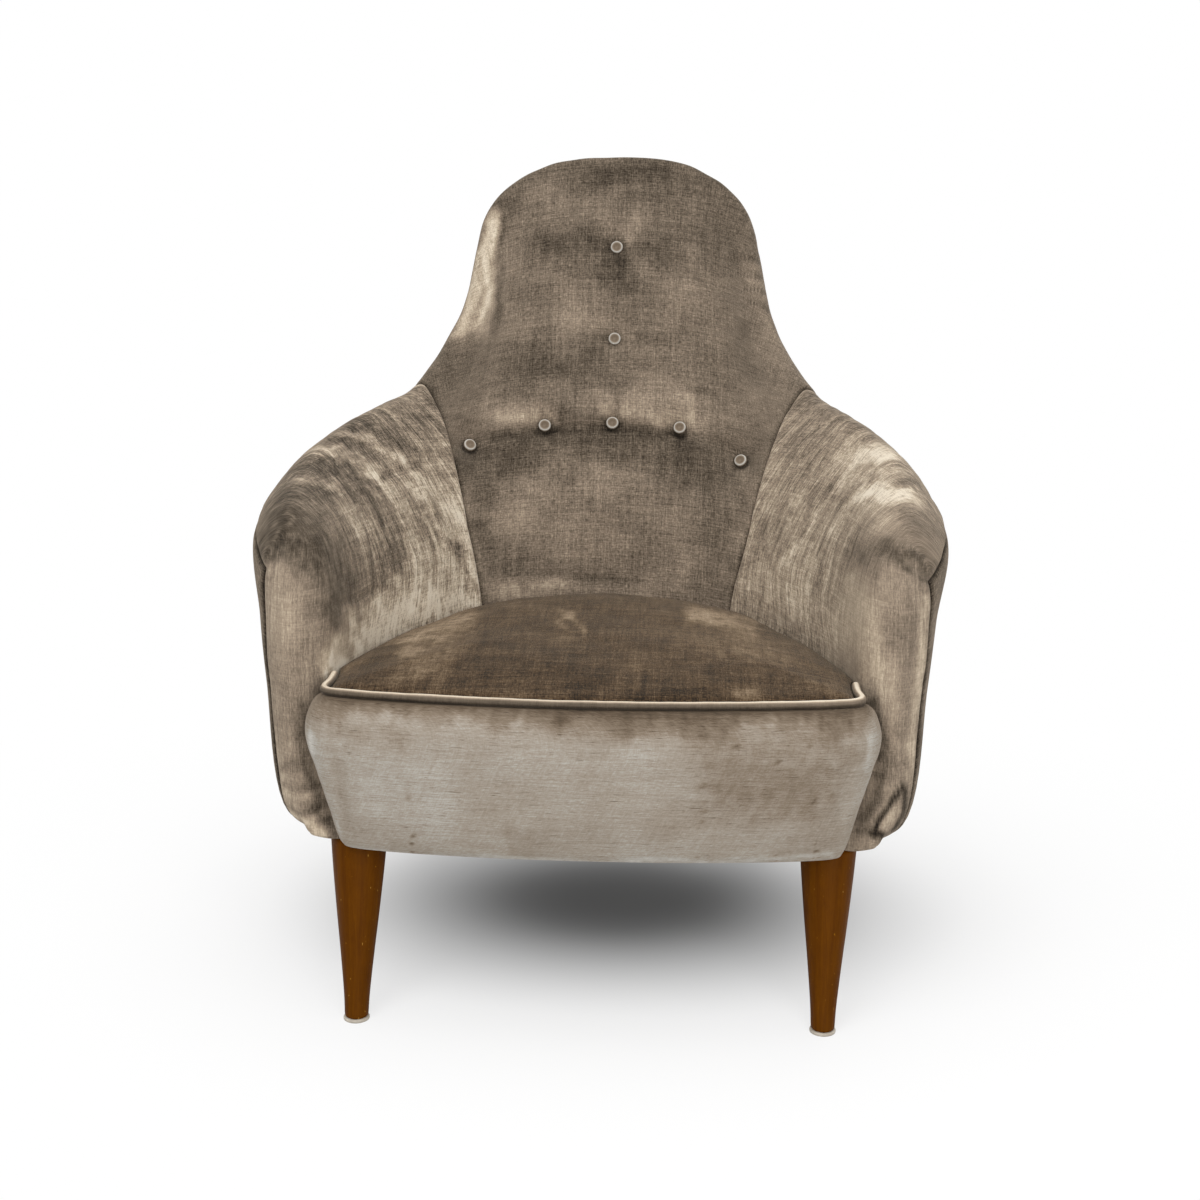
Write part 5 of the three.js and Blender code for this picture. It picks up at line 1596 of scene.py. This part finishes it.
def make_cloth(node, slack, hem, looks, seed):
    """A sheet over the outline of its solid, that sags by slack and is turned in along its hem."""
    outer, cells, low, high = underside(node)
    edge = []
    links = []
    for start, end in zip(*lone_edges(cells)):
        start, end = outer[start], outer[end]
        steps = max(1, round(np.linalg.norm(end - start) / CLOTH_STEP))
        first = len(edge)
        edge += [start + (end - start) * k / steps for k in range(steps + 1)]
        links += [(first + k, first + k + 1) for k in range(steps)]
    edge = np.array(edge)
    across = np.arange(edge[:, 0].min(), edge[:, 0].max(), CLOTH_STEP)
    along = np.arange(edge[:, 1].min(), edge[:, 1].max(), CLOTH_STEP)
    inner = np.array([(x, y) for x in across for y in along])
    inner = inner[np.linalg.norm(inner[:, None] - edge, axis=2).min(1) > EDGE_ROOM]
    flat, faces = plane_mesh(np.concatenate([edge, inner]), links, [], 0)
    faces = faces[within(flat[faces].mean(1), outer, cells)]
    used, index = np.unique(faces, return_inverse=True)
    faces = index.reshape(faces.shape)
    flat = flat[used]
    a, b, c = (flat[faces[:, k]] for k in range(3))
    turn = (b[:, 0] - a[:, 0]) * (c[:, 1] - a[:, 1]) - (b[:, 1] - a[:, 1]) * (c[:, 0] - a[:, 0])
    faces[turn < 0] = faces[turn < 0][:, ::-1]
    away = np.linalg.norm(flat[:, None] - edge, axis=2).min(1)
    level = np.concatenate([flat, np.zeros((len(flat), 1))], 1)
    ripple = uneven(level, (0.5, 60), (0.25, 22), seed)
    drop = slack * smooth(away, *SAG_REACH)
    drop += (RIPPLE_MEAN + ripple) * smooth(away, *RIPPLE_REACH) * min(1, slack)
    bottom = level.copy()
    bottom[:, 2] = low - drop - hem * (1 - smooth(away, *HEM_EDGE)) * smooth(away, *HEM_FOLD)
    top = level.copy()
    top[:, 2] = high - drop
    starts, ends = lone_edges(faces)
    count = len(flat)
    walls = np.stack([ends, starts, starts + count, ends + count], 1)
    sides = faces.tolist() + (faces[:, ::-1] + count).tolist() + walls.tolist()
    piece = make_piece(node, np.concatenate([top, bottom]), sides, looks, None,
                       np.concatenate([flat, flat]) * METRE)
    attach(piece, node)


make_cloth("dust_cover", 3.0, 0.5, dust_cloth, 91)
make_cloth("hessian", 0, 0, jute, 93)


# Webbing: rows run side to side and columns front to back. Each row is (how far back, its reach to
# each side), as shares.
STRAP_ROWS = [(-0.5, 0.83), (-0.235, 0.83), (0.03, 0.79)]
STRAP_COLUMNS = [-0.31, 0, 0.31]
STRAP_WIDTH = 50.0
STRAP_THICKNESS = 1.0
STRAP_LIFT = 0.55
STRAP_STEP = 6.0


def make_strap(name, start, end, crossings, lifts):
    """A jute strap that passes over and under those that cross it."""
    low, high = (corner.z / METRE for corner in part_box("seat_webbing"))
    length = np.linalg.norm(end - start)
    way = (end - start) / length
    across = np.array([-way[1], way[0]])
    at = np.linspace(0, length, int(length / STRAP_STEP))
    rise = np.interp(at, [0] + crossings + [length], [0] + lifts + [0])
    rise = np.convolve(np.pad(rise, 2, "edge"), np.ones(5) / 5, "valid")
    share = np.linspace(-0.5, 0.5, 7)
    rim = np.concatenate([share, share[::-1]])
    half = np.repeat([1, -1], len(share)) * STRAP_THICKNESS / 2
    rings = np.zeros((len(at), len(rim), 3))
    rings[:, :, :2] = (start + at[:, None] * way)[:, None] + (rim[:, None] * STRAP_WIDTH) * across
    rings[:, :, 2] = (low + high) / 2 + rise[:, None] + half
    piece = rings_piece(name, rings, jute)
    attach(piece, "seat_webbing")


def make_straps():
    """Rows and columns of webbing, woven over and under each other."""
    columns = [x * HALF_WIDTH for x in STRAP_COLUMNS]
    rows = [y * HALF_DEPTH for y, _ in STRAP_ROWS]
    for k, (y, reach) in enumerate(STRAP_ROWS):
        start = np.array([-reach * HALF_WIDTH, y * HALF_DEPTH])
        end = start * np.array([-1, 1])
        lifts = [STRAP_LIFT * (-1) ** (k + n) for n in range(len(columns))]
        crossings = [x - start[0] for x in columns]
        make_strap(f"strap_row_{k + 1}", start, end, crossings, lifts)
    for k, x in enumerate(columns):
        front = bow(x, RAIL_MIDDLE, RAIL_CORNER) + 2 * SOFT_GAP
        start = np.array([x, front])
        end = np.array([x, 0.7 * HALF_DEPTH])
        lifts = [-STRAP_LIFT * (-1) ** (k + n) for n in range(len(rows))]
        crossings = [y - front for y in rows]
        make_strap(f"strap_column_{k + 1}", start, end, crossings, lifts)


make_straps()


# Inner pieces that keep their own solids
WOODEN = ("block", "rail", "post", "slat")
METAL = ("bolt", "spring")
SEEN_BESIDE_BORDER = ("front_block_right", "front_block_left", "front_rail")


def dress(node, looks):
    """Give a node of the frame its material."""
    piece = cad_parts[node]
    piece.data.materials.clear()
    piece.data.materials.append(looks)


for words, looks in [(WOODEN, frame_wood), (METAL, steel)]:
    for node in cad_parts:
        if any(word in node for word in words):
            dress(node, looks)
# painted shade: the pieces seen through the slits beside the border get the dark cloth
for node in SEEN_BESIDE_BORDER:
    dress(node, shade_lining)
